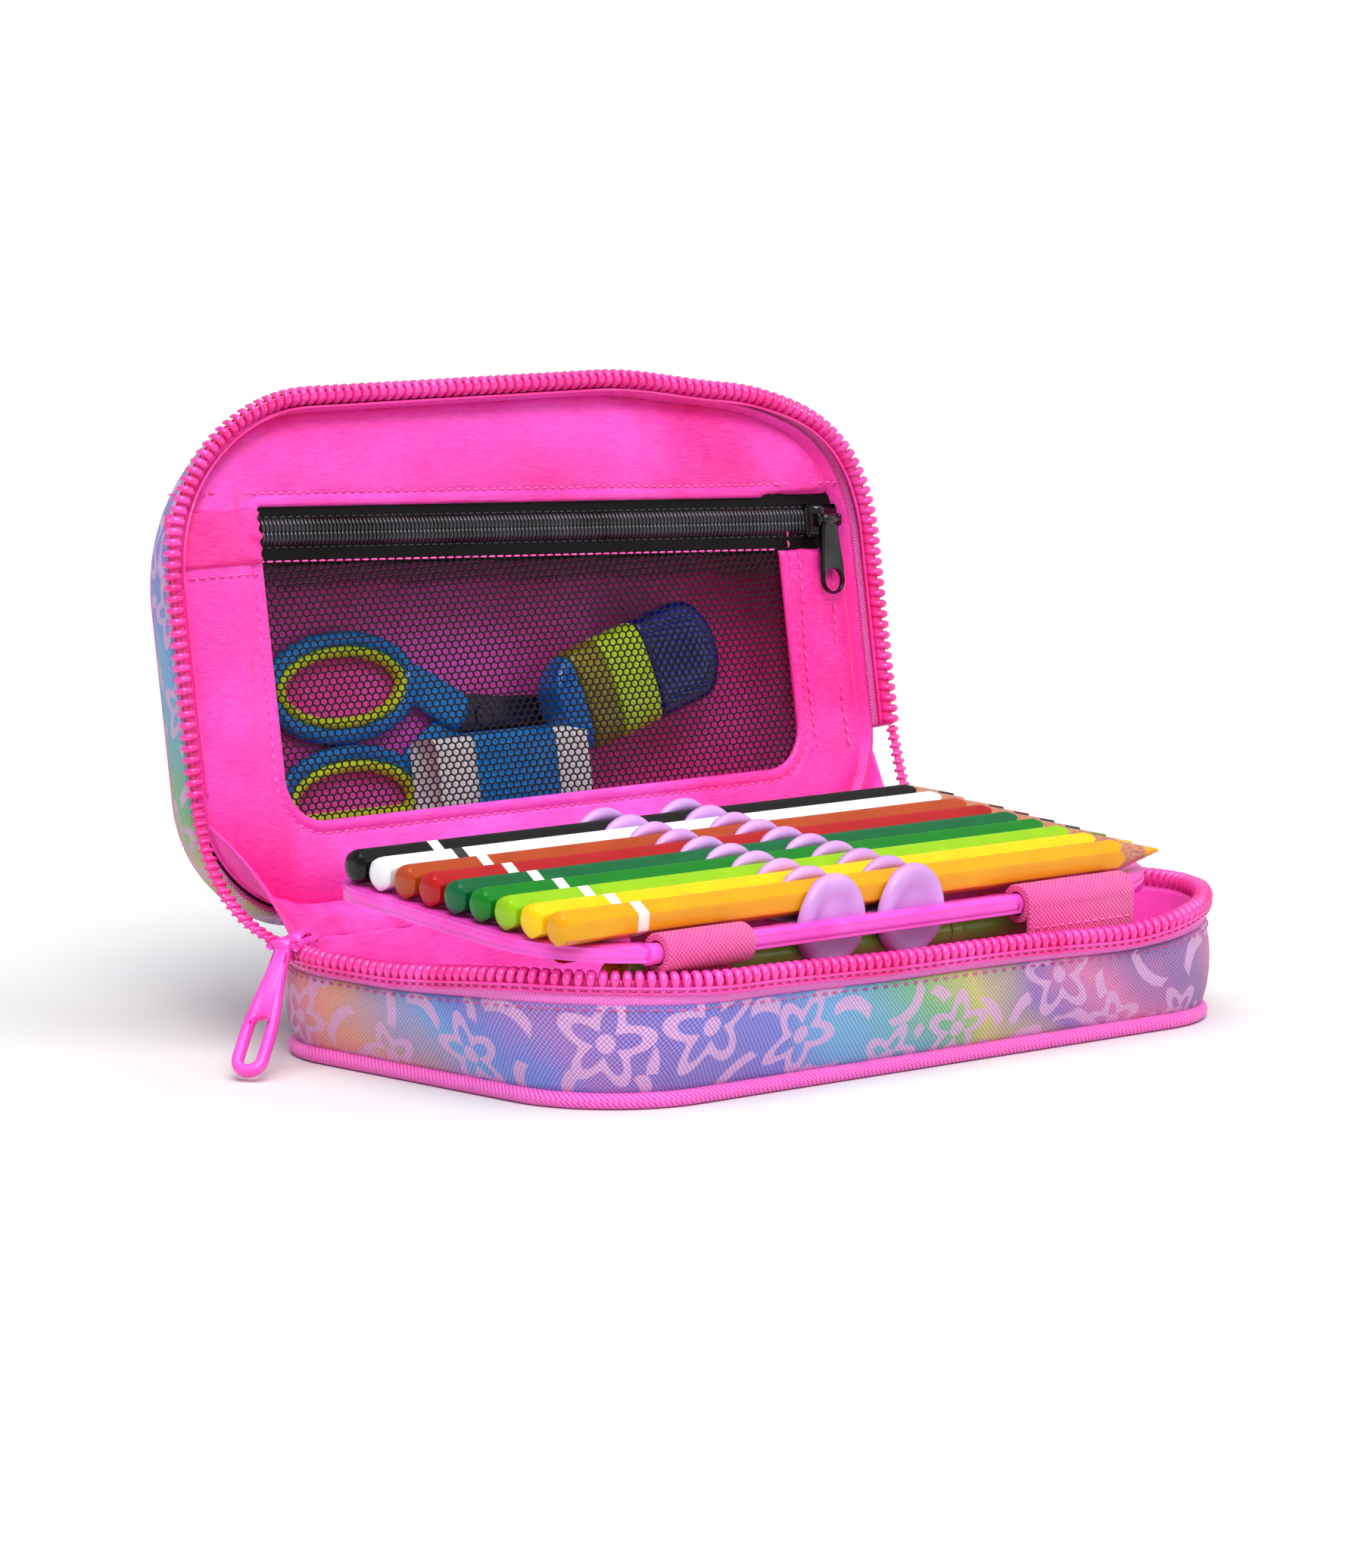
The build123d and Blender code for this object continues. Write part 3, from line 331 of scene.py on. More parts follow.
# A round or oval tube along a line, with its own width and height at each place
def tubeAlong(points, sideways, width, height, sides=12, closed=False, power=2.0):
    nextOne = np.roll(points, -1, 0) if closed else np.concatenate([points[1:], points[-1:]])
    lastOne = np.roll(points, 1, 0) if closed else np.concatenate([points[:1], points[:-1]])
    ahead = unit(nextOne - lastOne)
    side = np.broadcast_to(np.asarray(sideways, float), points.shape)
    side = unit(side - ahead * (side * ahead).sum(1, keepdims=True))
    up = np.cross(ahead, side)
    turn = np.arange(sides) * tau / sides
    c, s = np.cos(turn), np.sin(turn)
    c = np.sign(c) * np.abs(c) ** (2 / power)
    s = np.sign(s) * np.abs(s) ** (2 / power)
    width = np.broadcast_to(np.asarray(width, float), len(points))
    height = np.broadcast_to(np.asarray(height, float), len(points))
    return (points[:, None] + side[:, None] * (width[:, None] * c)[..., None]
            + up[:, None] * (height[:, None] * s)[..., None])


# A row of stitches: short rods that dip into the cloth at both ends
def stitches(mould, line, up, dash=2.2, pitch=3.0, radius=0.28, lift=0.1, closed=False):
    ups = np.broadcast_to(np.asarray(up, float), line.shape)
    centres, ahead, ups = spaced(line, pitch, ups, closed=closed)
    t = np.array([-0.5, -0.3, 0, 0.3, 0.5])
    rise = lift - np.array([0.35, 0.05, 0, 0.05, 0.35])
    fat = radius * np.array([0.5, 1, 1.05, 1, 0.5])
    side = np.cross(ahead, ups)
    turn = np.arange(6) * tau / 6
    grid = (centres[:, None, None] + ahead[:, None, None] * (t * dash)[None, :, None, None]
            + side[:, None, None] * (fat[:, None] * np.cos(turn))[None, ..., None]
            + ups[:, None, None] * (rise[:, None] + fat[:, None] * np.sin(turn))[None, ..., None])
    mould.rod(grid)


# A turned shape: a radius at each place along a line, and for each direction round it
def turned(start, ahead, side, places, radii, sides=24):
    ahead, side = np.asarray(ahead, float), np.asarray(side, float)
    turn = np.arange(sides) * tau / sides
    ring = side * np.cos(turn)[:, None] + np.cross(ahead, side) * np.sin(turn)[:, None]
    radii = np.asarray(radii, float)
    radii = radii[:, None] if radii.ndim == 1 else radii
    return (np.asarray(start, float) + ahead * np.asarray(places, float)[:, None, None]
            + np.broadcast_to(radii, (len(places), sides))[..., None] * ring[None])


# A box with soft edges: rounded sections along its first direction, drawn in towards both ends
def block(place, u, v, d, soft, corner=None, rows=(0.1, 0.45, 0.8, 1.0)):
    a = np.array(rows) * math.pi / 2
    along = np.concatenate([u[0] + soft * (1 - np.sin(a)), (u[1] - soft * (1 - np.sin(a)))[::-1]])
    inset = soft * (1 - np.cos(math.pi / 2 - a))
    inset = np.concatenate([inset, inset[::-1]])
    return np.stack([sectionOf(place, at, v, d, i, corner or soft) for at, i in zip(along, inset)])


def sectionOf(place, at, v, d, inset, corner):
    a, b, _, _ = ringOf(v[0] + inset, v[1] - inset, d[0] + inset, d[1] - inset,
                        corner - inset * 0.6, corner - inset * 0.6, (6, 4, 4))
    return place(at, a, b)


# A flat ring between two matched outlines with soft edges, as (across, along, height) places
def framed(outer, inner, thick, soft):
    half = thick / 2
    edge = [(1.0, -1.0), (0.3, -0.75), (0.0, 0.0), (0.3, 0.75), (1.0, 1.0)]
    columns = [(outer[0] - outer[2] * soft * a, outer[1] - outer[3] * soft * a, half * b) for a, b in edge]
    columns += [(inner[0] + inner[2] * soft * a, inner[1] + inner[3] * soft * a, half * b)
                for a, b in edge[::-1]]
    return np.stack([np.stack([x, y, h + 0 * x], -1) for x, y, h in columns], 1)


# A grid's own lengths along and across, in millimetres
def clothUv(grid, ring=False, tube=False):
    along = stepLengths(grid[:, grid.shape[1] // 2], ring)
    across = stepLengths(grid[0], tube)
    along = along if ring else np.append(along, along[-1])
    across = across if tube else np.append(across, across[-1])
    return np.stack(np.meshgrid(along, across, indexing="ij"), -1)


# Gives a thin sheet its thickness, half to each side
def thicken(piece, thickness):
    modifier = piece.modifiers.new("thickness", "SOLIDIFY")
    modifier.thickness = thickness * mm
    modifier.offset = 0


# A level pattern on a ring of rows, read from two of its axes
def levelUv(grid, first, second):
    full = np.concatenate([grid, grid[:1]])
    full = np.concatenate([full, full[:, :1]], 1)
    return np.stack([full[..., first], full[..., second]], -1)


# The stretches of a closed line where a test holds, each as its indices in order
def stretches(test):
    test = np.asarray(test, bool)
    if test.all():
        return [np.arange(len(test))]
    first = int(np.nonzero(~test)[0][0])
    order = (np.arange(len(test)) + first) % len(test)
    cuts = np.nonzero(np.diff(test[order].astype(int)))[0] + 1
    return [part for part in np.split(order, cuts) if test[part[0]]]


# Materials

# A colour given as 0 to 255 channels, a little deepened because the studio is bright
def tint(red, green, blue):
    share = np.array([red, green, blue]) / 255
    linear = np.where(share <= 0.04045, share / 12.92, ((share + 0.055) / 1.055) ** 2.4) ** 1.2
    return (*linear.tolist(), 1.0)


class Finish:
    def __init__(self, name, **fixed):
        self.material = bpy.data.materials.new(name)
        self.material.use_nodes = True
        self.tree = self.material.node_tree
        self.tree.nodes.clear()
        out = self.tree.nodes.new("ShaderNodeOutputMaterial")
        self.shader = self.tree.nodes.new("ShaderNodeBsdfPrincipled")
        self.tree.links.new(self.shader.outputs[0], out.inputs[0])
        names = {"rough": "Roughness", "metal": "Metallic", "coat": "Coat Weight",
                 "coatRough": "Coat Roughness", "sheen": "Sheen Weight", "sheenRough": "Sheen Roughness",
                 "sheenColour": "Sheen Tint", "scatter": "Subsurface Weight",
                 "scatterReach": "Subsurface Scale", "gloss": "Specular IOR Level"}
        for key, value in fixed.items():
            self.shader.inputs[names[key]].default_value = value

    def put(self, kind, inputs=(), out=0, **settings):
        made = self.tree.nodes.new("ShaderNode" + kind)
        for key, value in settings.items():
            setattr(made, key, value)
        pairs = inputs.items() if isinstance(inputs, dict) else enumerate(inputs)
        for place, value in pairs:
            if isinstance(value, bpy.types.NodeSocket):
                self.tree.links.new(value, made.inputs[place])
            elif value is not None:
                made.inputs[place].default_value = value
        return made.outputs[out]

    def sum(self, operation, *values):
        return self.put("Math", values, operation=operation)

    def add(self, first, second):
        return self.put("Math", (first, second), operation="ADD")

    def times(self, first, second):
        return self.put("Math", (first, second), operation="MULTIPLY")

    # first * second + third
    def line(self, first, second, third):
        return self.put("Math", (first, second, third), operation="MULTIPLY_ADD")

    def stretched(self, vector, scale):
        return self.put("VectorMath", (vector, scale), operation="MULTIPLY")

    # Object coordinates or the piece's own uv, in millimetres
    def place(self, kind="Object"):
        if kind == "UV":
            return self.put("TexCoord", out="UV")
        where = self.put("TexCoord", out="Object")
        return self.put("VectorMath", {0: where, "Scale": 1000.0}, operation="SCALE")

    def axes(self, vector):
        made = self.tree.nodes.new("ShaderNodeSeparateXYZ")
        self.tree.links.new(vector, made.inputs[0])
        return made.outputs

    def noise(self, vector, scale, detail=3.0, rough=0.5, twist=0.0):
        return self.put("TexNoise", {"Vector": vector, "Scale": scale, "Detail": detail, "Roughness": rough,
                                     "Distortion": twist})

    def ramp(self, value, stops):
        made = self.tree.nodes.new("ShaderNodeValToRGB")
        while len(made.color_ramp.elements) < len(stops):
            made.color_ramp.elements.new(0.5)
        for element, (position, colour) in zip(made.color_ramp.elements, stops):
            element.position = position
            element.color = colour if isinstance(colour, tuple) else (colour, colour, colour, 1)
        self.tree.links.new(value, made.inputs[0])
        return made.outputs[0]

    def mix(self, share, first, second, kind="MIX"):
        return self.put("MixRGB", (share, first, second), blend_type=kind)

    def mark(self, name):
        return self.put("Attribute", out="Fac", attribute_name=name, attribute_type="GEOMETRY")

    # A sine wave of one period in millimetres, from 0 to 1
    def wave(self, value, period, shift=0.0):
        turned = self.line(value, tau / period, shift)
        return self.line(self.sum("SINE", turned), 0.5, 0.5)

    def bump(self, height, depth, strength=1.0, under=None):
        made = self.tree.nodes.new("ShaderNodeBump")
        made.inputs["Strength"].default_value = strength
        made.inputs["Distance"].default_value = depth * mm
        self.tree.links.new(height, made.inputs["Height"])
        if under is not None:
            self.tree.links.new(under, made.inputs["Normal"])
        return made.outputs[0]

    # Two crossed sets of threads, over and under by turns, from 0 to 1
    def weave(self, u, v, period):
        return self.add(self.times(self.wave(u, period), self.wave(v, period)),
                        self.times(self.wave(u, period, math.pi), self.wave(v, period, math.pi)))

    def done(self, colour=None, normal=None, rough=None):
        for name, value in (("Base Color", colour), ("Normal", normal), ("Roughness", rough)):
            if value is not None:
                self.tree.links.new(value, self.shader.inputs[name])
        return self.material


# Woven satin: fine crossed threads, with wide soft patches of painted highlight and painted shade between its
# lit and its shaded pink
def satin(name, light, deep, rough=0.42):
    f = Finish(name, rough=rough, sheen=0.35, sheenRough=0.35, gloss=0.45, sheenColour=tint(255, 190, 230))
    where = f.place()
    x, y, z = f.axes(where)[:3]
    foldLightNoise = f.noise(where, 0.022, 2.0, 0.5, 0.5)
    fine = f.noise(f.stretched(where, (0.35, 2.6, 2.6)), 1.0, 2.0)
    # painted highlight and shade: large noise patches lay the lit pink and the shaded pink over the satin
    share = f.ramp(foldLightNoise, ((0.32, 0.0), (0.68, 1.0)))
    colour = f.mix(share, tint(*deep), tint(*light))
    colour = f.mix(0.10, colour, f.ramp(fine, ((0.3, tint(190, 30, 110)), (0.7, tint(255, 200, 235)))))
    threads = f.add(f.wave(x, 0.55), f.wave(f.add(y, z), 0.55))
    slack = f.noise(f.stretched(where, (1.0, 1.0, 0.45)), 0.055, 2.0, 0.5, 0.6)
    soft = f.bump(slack, 5.0, 0.7)
    return f.done(colour, f.bump(f.line(fine, 0.6, threads), 0.03, 0.6, soft))


# Printed polyester: washes of colour along the band, pale brushed blossoms and strokes, a coarse plain weave
# with painted shade between its threads and painted highlight on them.
# A blossom is the line r = R (0.7 + 0.3 cos 5a) round each cell's own point, a stroke is a bent bar.
def printed(name, period, start):
    f = Finish(name, rough=0.62, sheen=0.2, sheenRough=0.5, gloss=0.3)
    where = f.place("UV")
    u, v = f.axes(where)[:2]
    cloud = f.noise(where, 0.03, 2.0, 0.5, 0.4)
    run = f.add(f.line(u, 1 / period, start), f.line(cloud, 0.16, -0.08))
    run = f.add(run, f.times(v, 0.0035))
    colours = ((0.02, 150, 60, 185), (0.09, 240, 84, 170), (0.155, 255, 176, 124), (0.205, 190, 165, 205),
               (0.262, 60, 184, 250), (0.327, 84, 130, 240), (0.39, 170, 100, 214), (0.48, 128, 76, 210),
               (0.55, 96, 110, 230), (0.618, 60, 188, 240), (0.669, 50, 196, 196), (0.72, 104, 204, 124),
               (0.785, 226, 220, 84), (0.86, 156, 84, 204), (0.93, 245, 110, 190), (1.0, 150, 60, 185))
    stops = [(at, tuple(0.87 * c + 0.13 for c in tint(*rest)[:3]) + (1.0,)) for at, *rest in colours]
    wash = f.ramp(f.sum("FRACT", run), stops)

    def cells(scale, shift, loose):
        moved = f.put("VectorMath", (where, (shift, shift * 0.6, 0)), operation="ADD")
        made = f.tree.nodes.new("ShaderNodeTexVoronoi")
        made.voronoi_dimensions = "2D"
        made.inputs["Scale"].default_value = scale
        made.inputs["Randomness"].default_value = loose
        f.tree.links.new(moved, made.inputs["Vector"])
        dx, dy = f.axes(f.put("VectorMath", (moved, made.outputs["Position"]), operation="SUBTRACT"))[:2]
        chance = f.axes(made.outputs["Color"])
        angle = f.line(chance[0], tau, f.sum("ARCTAN2", dy, dx))
        reach = f.sum("POWER", f.add(f.sum("POWER", dx, 2), f.sum("POWER", dy, 2)), 0.5)
        return angle, reach, chance

    angle, reach, chance = cells(1 / 25, 0, 0.6)
    size = f.line(chance[1], 2.6, 6.6)
    petals = f.line(f.sum("COSINE", f.times(angle, 5)), 0.26, 0.74)
    edge = f.sum("ABSOLUTE", f.sum("SUBTRACT", reach, f.times(size, petals)))
    blossom = f.ramp(f.times(edge, 0.2), ((0.26, 1.0), (0.33, 0.0)))
    heart = f.ramp(f.times(reach, 0.2), ((0.34, 1.0), (0.42, 0.0)))
    outside = f.ramp(f.times(f.sum("SUBTRACT", reach, size), 0.2), ((0.1, 0.0), (0.3, 1.0)))
    angle, reach, chance = cells(1 / 13.5, 31, 0.8)
    across = f.times(reach, f.sum("SINE", angle))
    ahead = f.times(reach, f.sum("COSINE", angle))
    bent = f.sum("ABSOLUTE", f.line(f.sum("POWER", ahead, 2), -0.07, f.add(across, 0.8)))
    ends = f.times(f.sum("SUBTRACT", f.sum("ABSOLUTE", ahead), 3.6), 0.7)
    bar = f.ramp(f.times(f.sum("MAXIMUM", bent, f.sum("MAXIMUM", ends, 0)), 0.25),
                 ((0.33, 1.0), (0.41, 0.0)))
    pale = f.sum("MAXIMUM", f.sum("MAXIMUM", blossom, heart), f.times(bar, outside))
    colour = f.mix(f.times(pale, 0.8), wash, tint(248, 200, 240))
    checks = f.weave(u, v, 1.05)
    # painted shade in the weave's hollows (multiply) and painted highlight on its raised threads (screen)
    colour = f.mix(f.line(checks, -0.5, 0.5), colour, tint(135, 105, 160), "MULTIPLY")
    colour = f.mix(f.times(checks, 0.24), colour, tint(255, 240, 250), "SCREEN")
    dust = f.noise(where, 1.7, 2.0)
    colour = f.mix(0.10, colour, f.ramp(dust, ((0.3, 0.25), (0.7, 1.0))), "MULTIPLY")
    return f.done(colour, f.bump(checks, 0.25, 0.9, f.bump(dust, 0.1, 0.25)))


# Cloth of one thread pattern, which sets its relief and paints its light: the raised threads take the light
# colour as painted highlight and the gaps take the deep one as painted shade, with random noise blotches
# between the two colours over it
def threaded(name, light, deep, pattern, share, blotchScale, relief, **fixed):
    f = Finish(name, **fixed)
    threads = pattern(f, *f.axes(f.place("UV"))[:2])
    # painted highlight on the raised threads and painted shade between them, mixed with noise blotches
    shade = f.line(threads, share, f.times(f.noise(f.place(), blotchScale, 3.0), 1 - share))
    return f.done(f.mix(shade, tint(*deep), tint(*light)), f.bump(threads, *relief))


# Zip tape: rows of slanted threads that turn back on themselves
def herringbone(f, u, v):
    return f.wave(f.add(u, f.times(f.sum("PINGPONG", v, 1.5), 0.9)), 0.75)


# Cord covered in finely ribbed cloth, the ribs slanting round it
def ribs(f, u, v):
    return f.wave(f.add(u, f.times(v, 0.8)), 1.15)


# Webbing: crossed threads as small raised squares
def squares(f, u, v):
    return f.weave(u, v, 1.1)


# The pocket zip's black cloth, its weave as crossed waves
def crossed(f, u, v):
    return f.times(f.wave(u, 0.9), f.wave(v, 0.63))


# Moulded plastic with faint flow marks
def plastic(name, light, deep, rough=0.32, coat=0.25, scatter=0.0, grain=0.5, metal=0.0):
    f = Finish(name, rough=rough, coat=coat, coatRough=0.12, gloss=0.5, scatter=scatter, scatterReach=0.004,
               metal=metal)
    where = f.place()
    flow = f.noise(where, 0.05, 3.0, 0.5, 0.8)
    fine = f.noise(where, 1.6, 3.0)
    colour = f.mix(f.ramp(flow, ((0.3, 0.0), (0.7, 1.0))), tint(*deep), tint(*light))
    uneven = f.line(fine, 0.18, rough - 0.09)
    return f.done(colour, f.bump(fine, 0.02 * grain, 0.5), uneven)


# the satin's two pinks are its lit and its shaded tone, laid on as painted highlight and shade
satinPink = satin("satinPink", (255, 116, 228), (254, 62, 182))
printBase = printed("printBase", 275, 0.42)
printLid = printed("printLid", 290, 0.15)
printBoard = printed("printBoard", 260, 0.2)
# each cloth's light and deep colours are its lit and its shaded tone, laid along the threads as painted
# highlight and shade
tapePink = threaded("tapePink", (255, 180, 244), (250, 116, 206), herringbone, 0.65, 0.9, (0.14, 0.9),
                    rough=0.6, sheen=0.3, sheenRough=0.5, gloss=0.35)
pipingPink = threaded("pipingPink", (255, 160, 236), (248, 88, 192), ribs, 0.75, 0.35, (0.2, 1.0),
                      rough=0.5, sheen=0.3, sheenRough=0.4, gloss=0.4)
webbingPink = threaded("webbingPink", (250, 146, 212), (226, 36, 132), squares, 0.8, 0.5, (0.25, 1.0),
                       rough=0.62, sheen=0.3, sheenRough=0.5, gloss=0.3)
tapeBlack = threaded("tapeBlack", (32, 31, 34), (8, 8, 9), crossed, 0.6, 0.8, (0.1, 0.8),
                     rough=0.5, sheen=0.08, sheenRough=0.4, gloss=0.25)
coilPink = plastic("coilPink", (255, 112, 204), (250, 66, 168), 0.24, 0.5, 0.15)
pagePink = plastic("pagePink", (255, 122, 224), (250, 92, 204), 0.3, 0.35, 0.3)
lugLavender = plastic("lugLavender", (226, 188, 238), (210, 168, 226), 0.38, 0.2, 0.25)
pullPink = plastic("pullPink", (255, 120, 220), (250, 90, 200), 0.32, 0.3, 0.25)

print("materials ready")


# Tray

gussetLook = {"bulge": 1.1, "ripple": 0.3, "hem": 7}  # hem: the place in the profile that the seam follows
pipingLook = {"radius": 1.75, "length": 193, "width": 117, "corner": 27}


# Slow waves in the cloth band, most at its middle height, fading at both seams
def bandRipple(amount):
    def swell(s, k):
        shape = np.sin(np.clip(k, 0, 8) * math.pi / 8) * (k <= 8)
        waves = 0.6 * np.sin(s / 23.0) + 0.5 * np.sin(s / 11.0 + 1.3) + 0.25 * np.sin(s / 5.1)
        return amount * shape * waves
    return swell


bulge = gussetLook["bulge"]
profile = [(0.6, 3.0), (-0.15, 4.8), (-0.7 * bulge, 7.4), (-bulge, 10.4), (-bulge, 13.2),
           (-0.7 * bulge, 15.8), (-0.3, 17.6), (-0.32, 18.5), (-0.1, 19.25), (0.35, 19.35), (1.0, 19.0),
           (1.5, 16.5), (1.6, 10), (1.5, 4.4), (1.1, 3.0)]
grid, normals, uv = carried(trayRing, profile, bandRipple(gussetLook["ripple"]))
Mould().loop(grid, uv=uv).cast("baseGusset", "base", printBase, ["base_gusset"], "print_fabric")

hemThread = Mould()
hem, hemOut = grid[:, gussetLook["hem"]], normals[:, gussetLook["hem"]]
stitches(hemThread, hem + hemOut * 0.05, hemOut, 1.9, 2.9, 0.22, 0.0, closed=True)
plumThread = plastic("plumThread", (225, 135, 185), (190, 90, 160), 0.55, 0.0)
hemThread.cast("baseHemStitches", "base", plumThread)

turns = np.arange(14) * tau / 14


def pipeRing(inset, height):
    halfLength, halfWidth = pipingLook["length"] / 2 - inset, pipingLook["width"] / 2 - inset
    corner = pipingLook["corner"] - inset
    x, y, nx, ny = ringOf(-halfLength, halfLength, -halfWidth, halfWidth, corner, corner, traySteps)
    return np.stack([x, y, height + 0 * x], 1), np.stack([nx, ny, 0 * nx], 1)


radius = pipingLook["radius"]
profile = [(radius - radius * math.cos(a), radius + radius * math.sin(a)) for a in turns]
skin(pipeRing, profile).cast("basePiping", "base", pipingPink, ["base_piping"], "trim_pink")

profile = [(50, 0.05), (20, 0.05), (5, 0.05), (4.2, 0.5), (4.2, 1.5), (5, 2.0), (20, 2.0), (50, 2.0)]
skin(pipeRing, profile, dish=True, level=(0, 1)).cast(
    "baseBottom", "base", printBoard, ["base_panel"], "board_fabric")

# Zip tape and its teeth, from the back left corner round the front to the back right one
rim, rimNormals = trayRing(0, tray["rim"])
order = (np.arange(len(rim)) + len(rim) // 2) % len(rim)
openTray = order[rim[order, 1] < tray["zipEnd"]]
profile = [(0.9, 18.3), (0.35, 19.2), (0.0, 20.2), (-0.05, 21.2), (0.1, 22.2), (0.9, 22.3), (1.2, 21.2),
           (1.35, 19.6), (1.45, 18.3)]
skin(trayRing, profile, keep=openTray).cast("baseTape", "base", tapePink, ["base_zip_tape"], "webbing_pink")

coilPitch = 2.45


# Teeth wrapped over a line, each a bent rod through its (out, up) places
def teethAlong(line, outs, up, places, radii, wide, lean=0.0):
    centres, ahead, outs = spaced(line, coilPitch, outs)
    outs = unit(outs)
    return rods(centres, outs, np.broadcast_to(up, outs.shape), ahead, places, radii, wide, lean)


profile = [(0.45, 20.9), (0.4, 23.0), (0.8, 23.6), (1.7, 23.7), (2.15, 23.2), (2.2, 21.0)]
coilMould = skin(trayRing, profile, keep=openTray)
toothPlaces = [(-2.4, -2.6), (-2.5, -1.0), (-1.9, 0.1), (-0.8, 0.45), (0.15, 0.1), (0.55, -0.75), (0.5, -1.6),
               (0.35, -2.3), (0.5, -2.9), (0.2, -3.5)]
toothRadii = [0.4, 0.6, 0.75, 0.82, 0.85, 0.86, 0.7, 0.5, 0.62, 0.3]
coilMould.rod(teethAlong(rim[openTray], rimNormals[openTray], upward, toothPlaces, toothRadii, 1.22, 0.05))
for out, up, radius in ((0.95, -2.3, 0.34), (0.4, -3.4, 0.4)):  # the threads that sew the teeth down
    line, turnOut = trayRing(-out, tray["rim"])
    line = line[openTray] + np.array([0, 0, up])
    wave = 0.14 * np.sin(stepLengths(line) * tau / coilPitch)[:, None]
    coilMould.rod(tubeAlong(line + turnOut[openTray] * wave, turnOut[openTray], radius, radius, 6))
coilMould.cast("baseTeeth", "base", coilPink, ["base_zip_coil"], "zip_pink")

# Lining: floor and walls in one closed skin
profile = [(48, 2.15), (20, 2.15), (4.4, 2.2), (2.6, 12), (2.0, 21.3), (2.5, 22.1), (2.9, 21.3), (3.4, 12),
           (5.4, 3.0), (20, 2.95), (48, 2.95)]
skin(trayRing, profile, dish=True).cast("baseLining", "base", satinPink, ["base_lining"], "lining_pink")
print("tray made")


# Lid shell

profile = [(0.35, 5.7), (-0.15, 6.2), (-0.5, 8.2), (-1.0, 11), (-1.2, 14), (-0.9, 17.4), (-0.3, 20.4),
           (0.5, 22.3), (1.3, 22.9), (1.9, 22.4), (1.8, 14), (1.6, 6.6), (1.1, 5.7)]
skin(lidRing, profile, bandRipple(0.35)).cast("lidGusset", "lid", printLid, ["lid_gusset"], "print_fabric")

profile = [(2 - 2 * math.cos(a), 24 + 2 * math.sin(a)) for a in turns]


def lidPipeRing(inset, depth):
    u, v, nu, nv = lidRingFlat(inset, lid["depth"])
    return lidPoint(u, v, depth), lidTurn(nu, nv, 0)


skin(lidPipeRing, profile).cast("lidPiping", "lid", pipingPink, ["lid_piping"], "trim_pink")

# The lid's outer face is a crowned board under printed cloth
profile = [(50, 24.1), (20, 24.1), (5, 24.1), (4.2, 24.6), (4.2, 25.4), (5.4, 26.1), (10, 26.5), (20, 27.0),
           (34, 27.4), (50, 27.6)]
skin(lidPipeRing, profile, dish=True, level=(0, 2)).cast(
    "lidBoard", "lid", printBoard, ["lid_panel"], "board_fabric")

openLid = np.nonzero(lidRingFlat(0, 0)[1] > lid["zipStart"])[0]
profile = [(0.9, 6.4), (0.35, 5.4), (0.1, 4.2), (0.1, 3.0), (0.4, 2.2), (1.2, 2.2), (1.3, 3.4), (1.45, 5.0),
           (1.6, 6.4)]
skin(lidRing, profile, keep=openLid).cast("lidTape", "lid", tapePink, ["lid_zip_tape"], "webbing_pink")

profile = [(0.4, 3.0), (0.35, 1.2), (0.8, 0.7), (1.8, 0.7), (2.2, 1.2), (2.2, 3.0)]
lidCoil = skin(lidRing, profile, keep=openLid)
rim, rimNormals = lidRing(0, 0)
viewer = lidTurn(0, 0, -1)
facePlaces = [(-2.9, -2.6), (-2.8, -1.5), (-2.1, -0.5), (-1.2, -0.2), (-0.3, -0.45), (0.35, -1.3),
              (0.4, -2.5)]
faceRadii = [0.35, 0.52, 0.68, 0.76, 0.72, 0.6, 0.35]
lidCoil.rod(teethAlong(rim[openLid], rimNormals[openLid], viewer, facePlaces, faceRadii, 1.25))
for inset, depth, radius in ((3.5, 1.5, 0.36), (-0.3, 2.3, 0.32)):
    cord, cordNormals = lidRing(inset, depth)
    grid = tubeAlong(cord[openLid], cordNormals[openLid], radius, radius, 6)
    lidCoil.rod(grid)
lidCoil.cast("lidTeeth", "lid", coilPink, ["lid_zip_coil"], "zip_pink")

profile = [(46, 23.9), (20, 23.9), (5.2, 23.8), (3.2, 14), (2.0, 5.0), (2.4, 4.2), (2.9, 5.0), (4.1, 14),
           (6.2, 22.6), (8, 23.1), (20, 23.1), (46, 23.1)]
skin(lidRing, profile, dish=True).cast("lidLining", "lid", satinPink, ["lid_lining"], "lining_pink")
print("lid shell made")


# Pocket: a sewn panel with a window, the net behind it and the black zip across

pocketLook = {"left": -72, "right": 80, "low": 22, "high": 91, "corner": 10, "slope": -0.0435,
              "stitchInset": 2.9, "fold": 0.8}
zipLook = {"middle": (12.55, 81.6), "turn": math.radians(-2.49), "half": 85.1, "pitch": 1.1}


# A point of the black zip, by its place along, across and behind the lid's face
def zipPoint(a, b, d):
    c, s = math.cos(zipLook["turn"]), math.sin(zipLook["turn"])
    a, b = np.asarray(a, float), np.asarray(b, float)
    return lidPoint(zipLook["middle"][0] + a * c - b * s, zipLook["middle"][1] + a * s + b * c, d)


# The height of the zip's middle at a place along the lid
def zipLevel(u):
    return zipLook["middle"][1] + math.tan(zipLook["turn"]) * (u - zipLook["middle"][0])


# The window's outline let out by a margin, its top edge sloping with the zip
def windowOutline(margin):
    u, v, nu, nv = ringOf(pocketLook["left"] - margin, pocketLook["right"] + margin,
                          pocketLook["low"] - margin, pocketLook["high"] + margin,
                          pocketLook["corner"] + margin, 1.0 + margin, lidSteps)
    share = smoothStep(v, pocketLook["low"] + 20, pocketLook["high"])
    return u, v + pocketLook["slope"] * (u - pocketLook["left"]) * share, nu, nv


